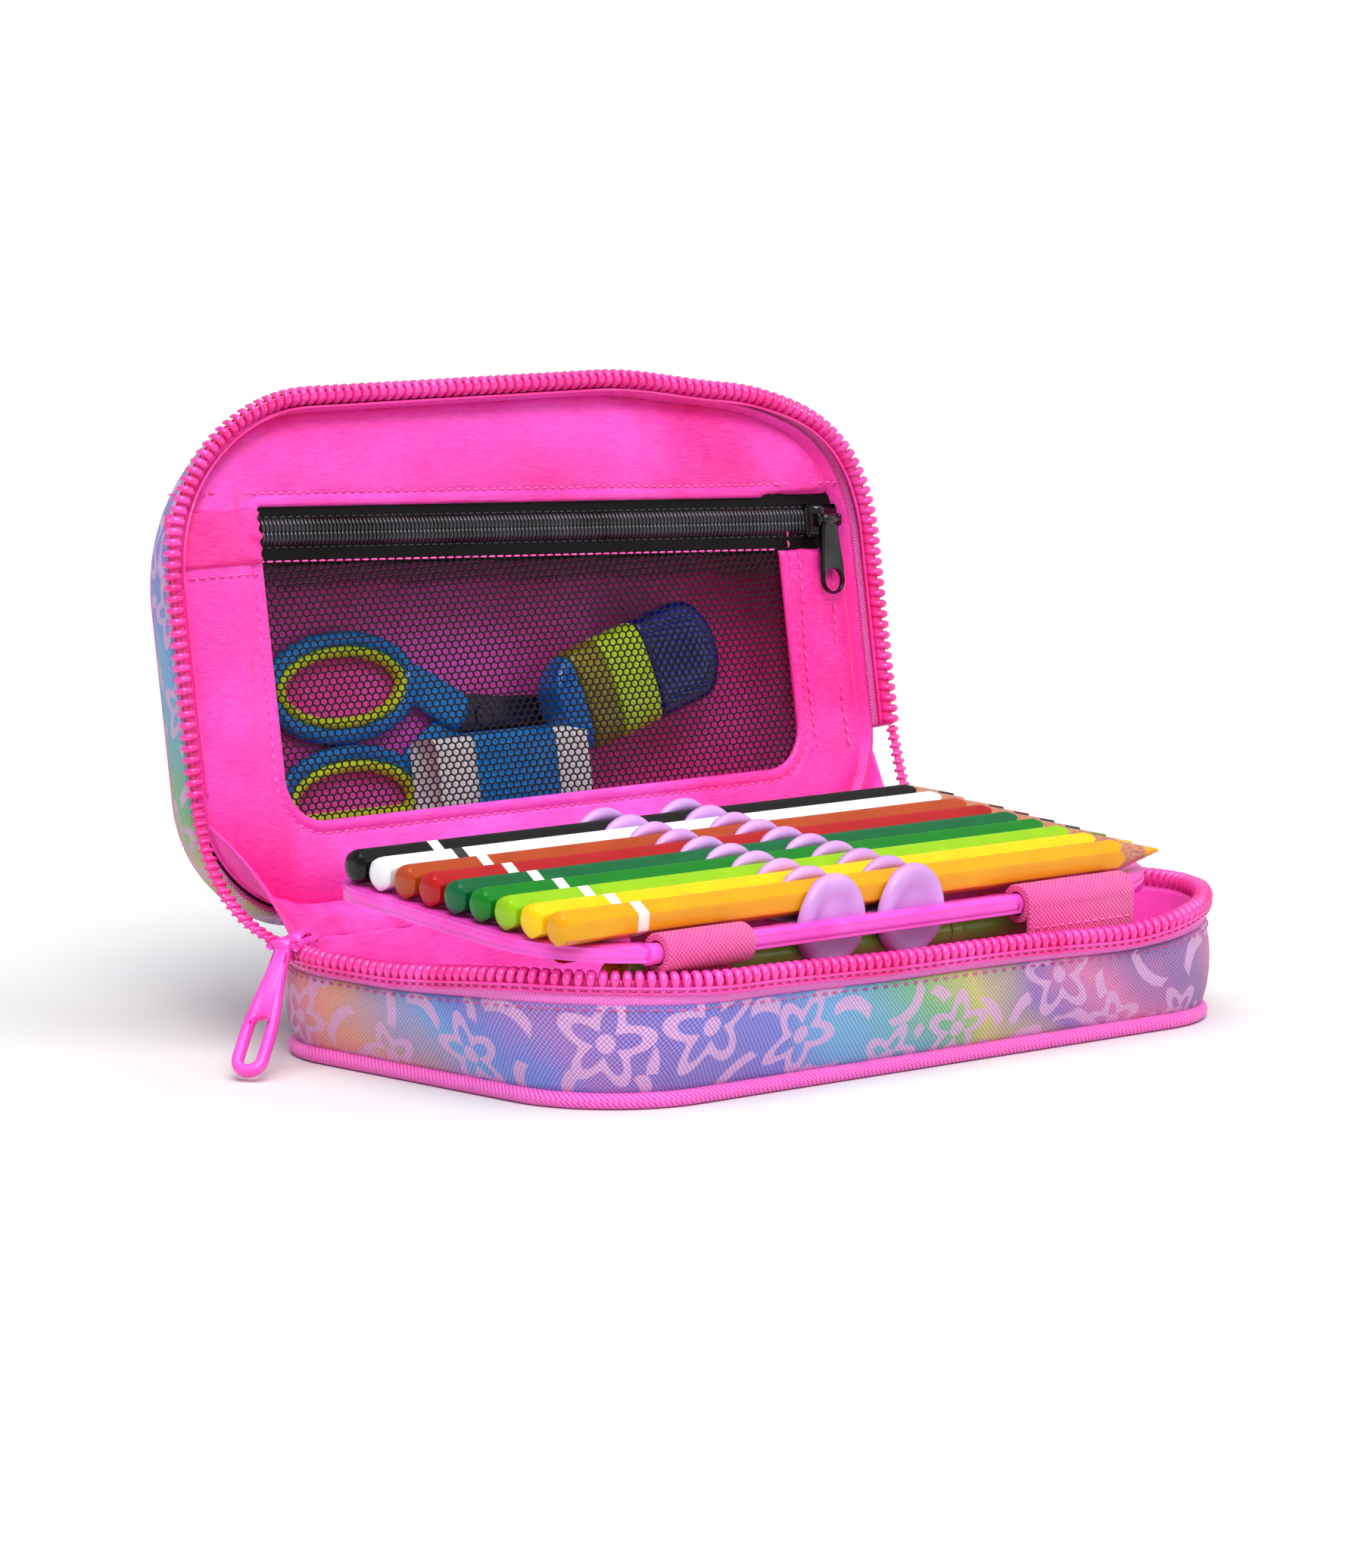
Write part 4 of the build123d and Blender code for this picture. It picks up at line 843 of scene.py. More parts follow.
# Panel rings from the window's edge out to the lid's wall, with soft folds running outwards
def panelRing(share, depth, lip=0.0):
    u0, v0, _, _ = windowOutline(5.0 if share else lip)
    u1, v1, _, _ = lidRingFlat(4.5 if share < 1 else 4.5 - lip, depth)
    u, v = u0 + (u1 - u0) * share, v0 + (v1 - v0) * share
    s = np.arange(len(u))
    puff = 4 * share * (1 - share)
    folds = 0.55 * np.sin(s / 4.1 + 0.8) * np.sin(s / 17.0) + 0.4 * np.sin(s / 2.3) * smoothStep(u, 60, 90)
    depth = depth + pocketLook["fold"] * puff * folds
    across = np.abs(v - zipLevel(u))
    dent = smoothStep(-across, -7.3, -5.9) * smoothStep(u, 75, 79) * (1 - smoothStep(u, 99, 101.5))
    return lidPoint(u, v, depth + (8.3 - depth) * dent * (depth < 8.3))


hemPlaces = ((0.3, 7.4), (0, 6.9), (0.15, 6.4), (0.7, 6.05), (1.6, 5.95), (2.5, 6.15), (2.9, 6.4),
             (3.3, 6.15), (4.0, 5.85))
borderPlaces = ((0.02, 5.6), (0.12, 5.15), (0.3, 4.7), (0.5, 4.5), (0.7, 4.7), (0.88, 5.2), (0.999, 5.9))
rows = [panelRing(0, d, m) for m, d in hemPlaces] + [panelRing(s, d) for s, d in borderPlaces]
rows += [panelRing(1, d, m) for m, d in ((1.3, 6.6), (1.6, 7.3), (1.0, 8.2))]
rows += [panelRing(s, 8.6) for s in (0.9, 0.5, 0.05)] + [panelRing(0, 8.0, 2.0)]
grid = np.stack(rows, 1)
Mould().loop(grid, uv=clothUv(grid, True, True)).cast(
    "pocketPanel", "lid", satinPink, ["pocket_panel"], "lining_pink")

ripple = np.linspace(-82, 84, 60)
shelfSection = [(18.9, 8.4), (19.5, 8.4), (19.65, 12), (19.6, 18), (19.5, 22.6), (18.9, 22.6), (18.8, 15)]
grid = np.stack([lidPoint(ripple, v + 0.12 * np.sin(ripple / 5.0), d) for v, d in shelfSection], 1)
Mould().rod(grid).cast("pocketShelf", "lid", satinPink, ["pocket_panel"], "lining_pink")

pinkThread = plastic("pinkThread", (255, 150, 215), (240, 96, 176), 0.5, 0.0)
panelThread = Mould()


# How far behind the lid's face the panel's border lies, left and right of the window
def borderDepth(u):
    return np.interp(np.abs(u - 4), [76, 81, 84, 87.5, 91, 95, 98.5, 101],
                     [6.0, 5.6, 5.05, 4.65, 4.45, 4.65, 5.2, 5.9])


u, v, _, _ = windowOutline(pocketLook["stitchInset"])
for run in stretches((v < 76) | ((u > 60) & (v < 78))):
    stitches(panelThread, lidPoint(u, v, 6.35)[run], viewer, 1.7, 2.5, 0.24, 0.05)
for place in (84.5, 93.5):  # the two seams down the right-hand border
    down = np.linspace(72, 25, 60)
    across = place + 0.6 * np.sin(down / 9)
    stitches(panelThread, lidPoint(across, down, borderDepth(across) - 0.1), viewer, 1.7, 2.5, 0.24, 0.1)
across = np.linspace(-96.5, 99.5, 150)  # the seam over the zip, from wall to wall
depth = np.where(np.abs(across - 4) < 76, 6.3, borderDepth(across)) - 0.05
stitches(panelThread, lidPoint(across, zipLevel(across) + 9.0, depth), viewer, 1.7, 2.5, 0.24, 0.1)
across = np.linspace(-96.5, -73.5, 30)
stitches(panelThread, lidPoint(across, 76.4, borderDepth(across) - 0.1), viewer, 1.7, 2.5, 0.24, 0.1)
panelThread.cast("panelStitches", "lid", pinkThread, (), "trim_pink")

netBlack = plastic("netBlack", (30, 28, 32), (10, 9, 12), 0.55, 0.0)
# the teeth are black; zipBlack's lighter grey is a painted highlight standing in for their glints, beside the
# real gloss of its coat
zipBlack = plastic("zipBlack", (84, 84, 92), (30, 30, 34), 0.22, 0.7)

# Net: six-sided cells in staggered rows, each a flat ring of strands, welded into one cloth
netLook = {"pitch": 2.1, "row": 1.4, "hole": 0.8, "thick": 0.15, "flat": (0.155, 0.056), "edge": 6.0,
           "strip": 5.6, "corner": 10.7}


def netCells(left, right, low, high, inside):
    p, h = netLook["pitch"], netLook["row"]
    i, j = np.meshgrid(np.arange(int((right - left) / p) + 1), np.arange(int((high - low) / h) + 1),
                       indexing="ij")
    u, v = (left + i * p + (j % 2) * p / 2).ravel(), (low + j * h).ravel()
    keep = inside(u, v)
    corners = np.array([(0, 2 / 3), (-0.5, 1 / 3), (-0.5, -1 / 3), (0, -2 / 3), (0.5, -1 / 3), (0.5, 1 / 3)])
    cell = (corners * np.array([p, h]))[:, None] * np.array([1.0, netLook["hole"]])[None, :, None]
    return u[keep][:, None, None] + cell[..., 0], v[keep][:, None, None] + cell[..., 1]


def insideWindow(u, v):
    du = np.maximum(np.maximum(-62.5 - u, u - 70.5), 0)
    dv = np.maximum(31.5 - v, 0)
    return (v < zipLevel(u) - netLook["edge"]) & (np.hypot(du, dv) < netLook["corner"])


def insideStrip(u, v):
    top = zipLevel(u) - netLook["edge"]
    return (v < top) & (v > top - netLook["strip"]) & (u > -73) & (u < 81)


net = Mould()
for inside, level, shift in ((insideWindow, 7.7, 0.0), (insideStrip, 7.25, 0.65)):
    u, v = netCells(-74 + shift, 82, 21 + shift, 82, inside)
    bulge = 0.25 * np.cos((u - 4) / 152 * math.pi) * np.sin(np.clip((v - 21) / 56, 0, 1) * math.pi)
    net.add(lidPoint(u, v, level - bulge), ring=True)
pocketNet = net.cast("pocketNet", "lid", netBlack, ["pocket_mesh"], "net_black", weld=True)
thicken(pocketNet, netLook["thick"])

along = np.linspace(-zipLook["half"] - 0.4, zipLook["half"] + 0.6, 150)
section = [(-7.2, 7.5), (-6.0, 7.05), (-4.2, 7.0), (-2.9, 6.75), (0, 6.9), (2.9, 6.75), (4.2, 7.0),
           (6.0, 7.05), (7.2, 7.5), (6.0, 7.9), (0, 7.9), (-6.0, 7.9)]
grid = np.stack([zipPoint(along, b, d + 0.08 * np.sin(along / 6)) for b, d in section], 1)
Mould().rod(grid, uv=clothUv(grid, False, True)).cast(
    "pocketTape", "lid", tapeBlack, ["pocket_zip_tape"], "zip_black")

teeth = Mould()
places = np.arange(-zipLook["half"] + 1, zipLook["half"] - 1, zipLook["pitch"])
centres = zipPoint(places, 0, 6.6)
ahead = np.broadcast_to(zipPoint(1, 0, 0) - zipPoint(0, 0, 0), centres.shape)
outs = np.broadcast_to(zipPoint(0, 1, 0) - zipPoint(0, 0, 0), centres.shape)
ups = np.broadcast_to(viewer, centres.shape)
pairPlaces = [(-2.75, -0.5), (-2.6, 0.15), (-1.7, 0.62), (-0.3, 0.7), (0, 0.5), (0.3, 0.7), (1.7, 0.62),
              (2.6, 0.15), (2.75, -0.5)]
pairRadii = [0.3, 0.44, 0.46, 0.46, 0.36, 0.46, 0.46, 0.44, 0.3]
teeth.rod(rods(centres, outs, ups, ahead, pairPlaces, pairRadii, 1.0, 0.12))
for b in (-3.35, 3.35):  # sewing thread beside the teeth
    stitches(teeth, zipPoint(along, b, 6.75), viewer, 1.6, 2.2, 0.2, 0.1)
teeth.cast("pocketTeeth", "lid", zipBlack, ["pocket_zip_coil"], "zip_black")


# End tab: a folded piece of satin from the wall to the zip, with a scalloped edge, puckered by its seam
def tabRing(inset, lift):
    u, v, nu, nv = ringOf(-97.6 + inset, -72.4 - inset, 78.4 + inset, 91.0 - inset, 1.6, 1.6, (26, 5, 14))
    scallop = 0.4 * np.sin(v * 2.4) * smoothStep(u, -78, -73)
    near = smoothStep(u, -82, -74) + 0.6 * smoothStep(-u, 92, 97)
    pucker = 0.4 * np.sin(v * 1.1 + u * 0.35) * near * (lift < 0.1)
    crown = -0.35 * np.sin(np.clip((v - 78.4) / 12.6, 0, 1) * math.pi) * (lift < 0.1)
    return lidPoint(u + scallop, v, borderDepth(u) - 0.55 + lift + pucker + crown), lidTurn(nu, nv, 0)


# the tab's two pinks are likewise a lit and a shaded tone, laid on as painted highlight and shade
tabSatin = satin("tabSatin", (255, 84, 196), (250, 44, 150))
profile = [(4.5, 1.1), (2, 1.2), (0.3, 1.2), (0, 0.9), (0.1, 0.4), (0.5, 0.05), (1.2, -0.1), (2.6, -0.15),
           (3.6, -0.15), (4.5, -0.15)]
skin(tabRing, profile, dish=True).cast("pocketTab", "lid", tabSatin, ["pocket_end_tab"], "tab_pink")
tabThread = Mould()
down = np.linspace(90.0, 79.4, 20)
stitches(tabThread, lidPoint(np.full(20, -75.4), down, 5.3), viewer, 1.5, 2.1, 0.24, 0.1)
beside = zipPoint(np.linspace(-zipLook["half"] - 0.5, 67, 150), -6.35, 6.85)
stitches(tabThread, beside, viewer, 1.9, 2.4, 0.24, 0.15)
tabThread.cast("tabStitches", "lid", pinkThread, (), "trim_pink")
print("pocket made")


# Small black slider on the pocket's zip, and its pull with a round hole

smallSlider = {"at": 80.33, "pin": 2.6}
glossBlack = plastic("glossBlack", (34, 34, 38), (10, 10, 12), 0.16, 0.7)


def sliderPoint(a, b, d):
    return zipPoint(smallSlider["at"] + np.asarray(a, float), b, d)


slider = Mould()
nose = (-4.5, 4.5)
slider.rod(block(sliderPoint, nose, (-3.7, 3.7), (4.3, 5.5), 0.55, 1.0))
for side in (-1, 1):
    edge = sorted((side * 3.05, side * 3.75))
    slider.rod(block(sliderPoint, nose, edge, (4.7, 7.05), 0.3))
    ear = sorted((side * 2.65, side * 3.6))
    slider.rod(block(sliderPoint, ear, (-1.5, 1.5), (1.9, 4.6), 0.3, 0.9))
pinStart = sliderPoint(-3.5, 0, smallSlider["pin"])
alongZip = sliderPoint(1, 0, 0) - sliderPoint(0, 0, 0)
slider.rod(turned(pinStart, alongZip, viewer, [0, 0.2, 6.8, 7.0], [0.6, 0.78, 0.78, 0.6], 14))
slider.cast("pocketSlider", "pocket_slider", glossBlack, ["pocket_slider"], "metal_black")


def pullTaper(x, y):
    return x * (0.66 + 0.34 * smoothStep(-y, 0.0, 12.0))


outline = ringOf(-3.5, 3.5, -17.4, 1.5, 3.45, 1.6, (12, 10, 16))
outline = (pullTaper(outline[0], outline[1]),) + outline[1:]
hole = ringOf(-2.6, 2.6, -16.6, -11.4, 2.59, 2.59, (12, 10, 16))
grid = framed(outline, hole, 1.5, 0.5)
pull = Mould().loop(sliderPoint(grid[..., 0], grid[..., 1], smallSlider["pin"] - grid[..., 2]))
eyeStart = sliderPoint(-2.25, 0, smallSlider["pin"])
pull.rod(turned(eyeStart, alongZip, viewer, [0, 0.3, 4.2, 4.5], [1.1, 1.45, 1.45, 1.1], 18))
pull.cast("pocketPull", "pocket_pull", glossBlack, ["pocket_pull"], "metal_black")
print("pocket slider made")


# Things in the pocket

eraserWhite = plastic("eraserWhite", (255, 255, 255), (242, 240, 244), 0.6, 0.0, 0.2, 2.0)
sleeveBlue = plastic("sleeveBlue", (30, 170, 240), (14, 140, 220), 0.35, 0.3)
eraser = Mould().rod(block(lidPoint, (-27.0, 17.5), (20.4, 37.0), (8.9, 18.1), 1.8, 2.2))
eraser.cast("eraser", "eraser", eraserWhite, ["eraser"], "eraser_white", angle=60)

# Paper sleeve: an open-ended wrap with its own thickness
sleeve = Mould()
wrap = [(-16.0, 0.0), (-15.8, -0.12), (7.4, -0.12), (7.6, 0.0), (7.4, 0.38), (-15.8, 0.38)]
grid = np.stack([sectionOf(lidPoint, u, (19.9, 37.5), (8.4, 18.6), i, 2.6) for u, i in wrap], 1)
sleeve.loop(grid, uv=clothUv(grid, True, True))
sleeve.cast("eraserSleeve", "lid", sleeveBlue, ["eraser_sleeve"], "sleeve_blue", angle=50)

sharpenerLook = {"u": 36, "v": 46.5, "turn": math.radians(15), "stretch": 1.14}
sharpenerCuts = (("nose", "Nose", "blue", -22, -16, (30, 170, 240), (14, 130, 220)),
                 ("tank", "Tank", "olive", -16, -8, (190, 176, 40), (150, 136, 30)),
                 ("collar", "Band", "lime", -8, 3, (222, 245, 30), (196, 228, 14)),
                 ("body", "Case", "navy", 3, 22, (36, 56, 176), (16, 28, 130)))


# A cross-section of the sharpener at a place along it: an oval that is flat in front and behind
def sharpenerSection(at, shrink):
    c, s = math.cos(sharpenerLook["turn"]), math.sin(sharpenerLook["turn"])
    past = max(at - 15.5, 0) / 6.5 if at > 0 else max(-at - 13, 0) / 9
    wide = 3 + 9 * math.sqrt(max(1 - past * past, 0)) - shrink
    deep = 5 - 0.9 * past ** 2 - shrink
    turn = np.arange(36) * tau / 36
    b = np.sign(np.cos(turn)) * np.abs(np.cos(turn)) ** 0.72 * wide
    d = 13.4 + 0.9 * past ** 2 * 0.5 - np.sign(np.sin(turn)) * np.abs(np.sin(turn)) ** 0.6 * deep
    at = at * sharpenerLook["stretch"]
    return lidPoint(sharpenerLook["u"] + at * c - b * s, sharpenerLook["v"] + at * s + b * c, d)


for node, name, slot, low, high, light, deep in sharpenerCuts:
    low, high = low + 0.15, high - 0.15
    soft = np.array([0.0, 0.12, 0.3])
    ats = np.concatenate([low + soft, np.linspace(low + 0.6, high - 0.6, 12), high - soft[::-1]])
    shrinks = np.concatenate([0.35 - soft * 1.1, np.zeros(12), 0.35 - soft[::-1] * 1.1])
    grid = np.stack([sharpenerSection(at, max(shrink, 0)) for at, shrink in zip(ats, shrinks)])
    body = "sharpener_cover" if node == "body" else "lid"
    finish = plastic("sharpener" + name, light, deep, 0.2, 0.6, 0.05)
    Mould().rod(grid).cast("sharpener" + name, body, finish, ["sharpener_" + node], "sharpener_" + slot,
                           angle=50)

# Scissors: oval eyes with soft inner rims, arms, blades and a rivet
scissorsLook = {"eye": -42.5, "middle": 37.8, "offset": 12.65, "long": 21.6, "tall": 12.2, "pivot": (-3, 41),
                "shelf": 21.3, "depth": 21.1}
handleBlue = plastic("handleBlue", (30, 176, 240), (14, 140, 224), 0.28, 0.4)
gripLime = plastic("gripLime", (236, 248, 60), (214, 232, 30), 0.5, 0.1)
bladeSteel = plastic("bladeSteel", (112, 100, 128), (70, 62, 86), 0.28, 0.2, metal=0.75)
around = np.arange(72) * tau / 72


# The oval line of an eye, with the direction away from its middle
def ovalEye(hand, inset):
    middle = scissorsLook["middle"] + hand * scissorsLook["offset"]
    v = middle + (scissorsLook["tall"] - inset) * np.sin(around)
    v = np.maximum(v, scissorsLook["shelf"] + 0.2 * inset)  # the low eye is flattened on the pocket's shelf
    u = scissorsLook["eye"] + (scissorsLook["long"] - inset) * np.cos(around)
    line = lidPoint(u, v, scissorsLook["depth"])
    return line, line - lidPoint(scissorsLook["eye"], middle, scissorsLook["depth"])


pivotU, pivotV = scissorsLook["pivot"]
for hand, half, body, back in ((1, "Front", "scissors_half", 20.95), (-1, "Back", "lid", 22.35)):
    node = "scissors_" + half.lower()
    handle = Mould().loop(tubeAlong(*ovalEye(hand, 1.4), 1.85, 1.75, 12, True, 2.6))
    stemU = np.array([-24.5, -22, -18, -13, -9.5, -8.5])
    top = pivotV + hand * np.interp(stemU, [-25, -20, -8], [15.2, 12.0, 5.2])
    low = pivotV + hand * np.interp(stemU, [-25, -20, -8], [6.0, 3.2, -4.6])
    middle, wide = (top + low) / 2, np.abs(top - low) / 2 * np.array([0.8, 1, 1, 1, 0.95, 0.6])
    line = lidPoint(stemU, middle, back - 0.55)
    handle.rod(tubeAlong(line, lidTurn(0, 1, 0), wide, 0.95, 14, False, 3.2))
    handle.cast("scissorsHandle" + half, body, handleBlue, [node], "handle_blue", weld=True)
    Mould().loop(tubeAlong(*ovalEye(hand, 4.3), 1.3, 1.95, 10, True)).cast(
        "scissorsGrip" + half, body, gripLime, ["scissors_grip_" + half.lower()], "grip_lime")
    bladeU = np.array([-10, -6, -3, 2, 10, 20, 32, 44, 52, 55])
    spine = pivotV + hand * np.array([4.6, 5.0, 4.9, 4.0, 3.4, 2.7, 2.0, 1.2, 0.7, 0.3])
    edge = pivotV - hand * np.array([4.4, 5.3, 5.3, 4.3, 3.9, 3.3, 2.6, 1.8, 1.2, 0.6])
    front, rear = back - 1.1, back
    columns = [(edge, (front + rear) / 2 + 0.3), (edge + (spine - edge) * 0.22, front), (spine, front),
               (spine, rear), (edge, rear)]
    grid = np.stack([lidPoint(bladeU, v, d) for v, d in columns], 1)
    Mould().rod(grid).cast("scissorsBlade" + half, body, bladeSteel, [node], "blade_grey", angle=25)
rivet = Mould()
start = lidPoint(pivotU, pivotV, 22.9)
rivet.rod(turned(start, viewer, (1.0, 0, 0), [0, 0.35, 0.5, 3.2, 3.35, 3.6, 3.75, 3.78],
                 [2.2, 2.6, 1.6, 1.6, 2.6, 2.5, 1.9, 0.4], 28))
rivet.cast("scissorsRivet", "lid", bladeSteel, ["scissors_rivet"], "blade_grey", angle=40)
print("pocket things made")


# Page: the moulded leaf keeps its own solid, under a rounded rim, ribs and a bar

def dress(node, material):
    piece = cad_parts[node]
    if not piece.material_slots:
        piece.data.materials.append(material)
    for one in piece.material_slots:
        one.material = material


dress("page_frame", pagePink)
loopPlaces = ((-66, 24, 1, "webbing_loop_left", "webbingLeft"),
              (41, 32, -1, "webbing_loop_right", "webbingRight"))
rowLook = {"lobe": 2.825, "pencil": 6.8, "pitch": 7.95}


def lobeRow(row):
    return rowLook["lobe"] + rowLook["pitch"] * row


def pencilRow(row):
    return rowLook["pencil"] + rowLook["pitch"] * row


def pageOutline(inset):
    return ringOf(page["left"] + inset, page["right"] - inset, page["front"] + inset, page["back"] - inset,
                  page["frontCorner"] - inset, page["backCorner"] - inset, (120, 18, 50))


x, s, nx, ns = pageOutline(3.0)
clear = np.ones(len(x), bool)
for place, width, _, _, _ in loopPlaces:
    clear &= ~((np.abs(x - place) < width / 2 + 0.3) & (s < 6))
rimMould = Mould()
for run in stretches(clear):
    outward = pagePoint(nx, ns, 0)[run] - pagePoint(0, 0, 0)
    rimMould.rod(tubeAlong(pagePoint(x, s, 0)[run], outward, 3.15, 1.8, 20, False, 2.9))
x, s, nx, ns = pageOutline(6.6)
for run in stretches(s > 5.2):
    outward = pagePoint(nx, ns, 0)[run] - pagePoint(0, 0, 0)
    rimMould.rod(tubeAlong(pagePoint(x, s, 1.5)[run], outward, 0.75, 1.1, 10))
for row in range(1, 9):  # low ribs between the slots, left and right of the lobes
    for a, b in ((-94, -39), (7.5, 72)):
        line = pagePoint(np.linspace(a, b, 24), lobeRow(row), 1.05)
        rimMould.rod(tubeAlong(line, (0, 1.0, 0), 0.9, 0.55, 10))
rimMould.cast("pageRim", "page", pagePink, (), "page_pink")

# Lobes: dished discs whose soft thick edges close over the pencils
lugLook = {"radius": 9.5, "web": 0.4, "swell": 1.25, "up": 1.17, "down": 0.9, "round": 7.9}


# Half the thickness of a lobe at a distance from its middle and a height over the page
def lugHalf(radius, height, free):
    allowed = lugLook["swell"] * smoothStep(np.abs(height), 7.2, 9.2) * (1 - 0.6 * (height < 0))
    allowed = np.where(free, 1.5, allowed)
    rim = 0.35 + 0.65 * smoothStep(radius, 4.0, 7.4)
    past = np.clip(radius - lugLook["round"], 0, None) / (lugLook["radius"] - lugLook["round"])
    end = np.sqrt(np.clip(1 - past ** 2, 0, 1))
    return (lugLook["web"] + allowed * rim) * end


radii = np.array([0, 2.5, 4.0, 5.2, 6.2, 7.0, 7.8, 8.4, 8.8, 9.1, 9.35, 9.47, 9.5])
turn = np.arange(56) * tau / 56
for name, place in (("left", -27), ("right", -4)):
    column = Mould()
    for k in range(10):
        across, height = radii[:, None] * np.cos(turn), radii[:, None] * np.sin(turn)
        tall = height * np.where(height > 0, lugLook["up"], lugLook["down"])
        front = -lugHalf(radii[:, None], tall, k == 0)
        rear = lugHalf(radii[:, None], tall, k == 9)[::-1]
        both = np.concatenate([front, rear[1:]])
        grid = pagePoint(place + np.concatenate([across, across[::-1][1:]]), lobeRow(k) + both,
                         np.concatenate([tall, tall[::-1][1:]]))
        column.add(grid, tube=True)
    for k in range(9):  # the web between two lobes, pinched in at its sides
        a, b = lobeRow(k) + 0.3, lobeRow(k + 1) - 0.3
        t = np.linspace(0, 1, 7)
        half = 9.4 - 1.0 * np.sin(t * math.pi)
        section = [(-1, 0.0), (-0.96, 0.9), (-0.5, 1.0), (0, 0.85), (0.5, 1.0), (0.96, 0.9), (1, 0.0),
                   (0.9, -0.9), (0, -1.0), (-0.9, -0.9)]
        grid = np.stack([pagePoint(place + half * c, a + (b - a) * t, h) for c, h in section], 1)
        column.rod(grid)
    column.cast("lobes" + name.title(), "page", lugLavender, ["lug_column_" + name], "lug_lavender",
                weld=True)
print("page made")


# Pencils, front to back

pencilLook = {"left": -100, "long": 175, "flats": 6.6, "lift": 5.7, "lead": 1.45, "leadLong": 5.3,
              "slope": math.tan(math.radians(12.5)), "band": 21.3, "bandHalf": 1.45}
pencilColours = (("amber", (238, 188, 10), (228, 170, 6), (240, 184, 26), 1),
                 ("yellow", (252, 224, 20), (244, 204, 6), (240, 200, 30), 1),
                 ("lime", (178, 218, 30), (154, 200, 20), (120, 150, 40), 1),
                 ("green", (26, 158, 50), (14, 134, 38), (20, 92, 40), 1),
                 ("bottle", (12, 136, 88), (6, 110, 66), (16, 70, 50), 1),
                 ("red", (204, 44, 54), (178, 28, 38), (112, 16, 30), 1),
                 ("brown", (200, 104, 52), (178, 84, 36), (110, 24, 24), 1),
                 ("white", (246, 246, 248), (226, 226, 232), (240, 240, 244), 0),
                 ("black", (24, 12, 14), (10, 6, 8), (50, 20, 24), 1))


# Lacquer, a band, then sharpened wood and the lead; bare is how far the cut has gone under the lacquer
def pencilFinish(name, light, deep, lead, paleBand):
    f = Finish(name, coat=0.5, coatRough=0.05, gloss=0.3)
    u = f.axes(f.place("UV"))[0]
    where = f.place()
    flow = f.noise(where, 0.12, 2.0)
    paint = f.mix(flow, tint(*deep), tint(*light))
    band = f.times(f.sum("GREATER_THAN", u, pencilLook["band"] - pencilLook["bandHalf"]),
                   f.sum("LESS_THAN", u, pencilLook["band"] + pencilLook["bandHalf"]))
    bandColour = tint(248, 240, 235) if paleBand else tint(20, 20, 24)
    paint = f.mix(f.times(band, 0.95), paint, bandColour)
    grain = f.noise(f.stretched(where, (0.16, 3.2, 3.2)), 1.0, 4.0, 0.6)
    wood = f.mix(f.ramp(grain, ((0.3, 0.0), (0.7, 1.0))), tint(176, 112, 92), tint(226, 176, 148))
    bare = f.put("MapRange", {0: f.mark("bare"), 1: -0.04, 2: 0.04, 3: 0.0, 4: 1.0})
    tipAt = f.sum("GREATER_THAN", u, pencilLook["long"] - pencilLook["leadLong"])
    colour = f.mix(tipAt, f.mix(bare, paint, wood), tint(*lead))
    rough = f.line(bare, 0.42, 0.2)
    return f.done(colour, f.bump(f.times(grain, bare), 0.05, 0.6), rough)


places = np.concatenate([[0, 0.15, 0.5, 1.0, 1.7, 2.6, 4, 24.3, 25.7], np.linspace(40, 150, 6),
                         np.linspace(156, 170, 36), [171, 173, 174.4, 174.85, 175]])
turn = np.arange(48) * tau / 48
facet = np.abs((turn + math.pi / 6) % (math.pi / 3) - math.pi / 6)
hexRadius = np.minimum(pencilLook["flats"] / 2 / np.cos(facet), 3.7)
barrel = pencilLook["flats"] / 2 / math.cos(math.radians(30)) + 0.3
cone = np.clip(pencilLook["lead"] + (169.81 - places) * pencilLook["slope"], 0.3, None)
cone = np.where(places > 174.9, 0.2, cone)
dome = 1.2 + (barrel - 1.2) * np.sqrt(np.clip(1 - (1 - np.clip(places / 2.6, 0, 1)) ** 2, 0, 1))
for row, (name, light, deep, lead, pale) in enumerate(pencilColours):
    start = pagePoint(pencilLook["left"], pencilRow(row), pencilLook["lift"])
    radius = np.minimum(np.minimum(hexRadius[None], cone[:, None]), dome[:, None])
    grid = turned(start, (1, 0, 0), pageAcross, places, radius, 48)
    uv = np.stack(np.meshgrid(np.append(places, 175), np.arange(49) * 0.45, indexing="ij"), -1)
    bare = (hexRadius[None] - cone[:, None]) * (places[:, None] > 100) - 1.0 * (places[:, None] <= 100)
    finish = pencilFinish("paint" + name.title(), light, deep, lead, pale)
    Mould().rod(grid, uv=uv, marks={"bare": bare}).cast(
        "pencil" + name.title(), "pencil_" + name, finish, ["pencil_" + name], "paint_" + name, angle=26)
print("pencils made")


# Markers under the page, each a barrel with a seam and a cap

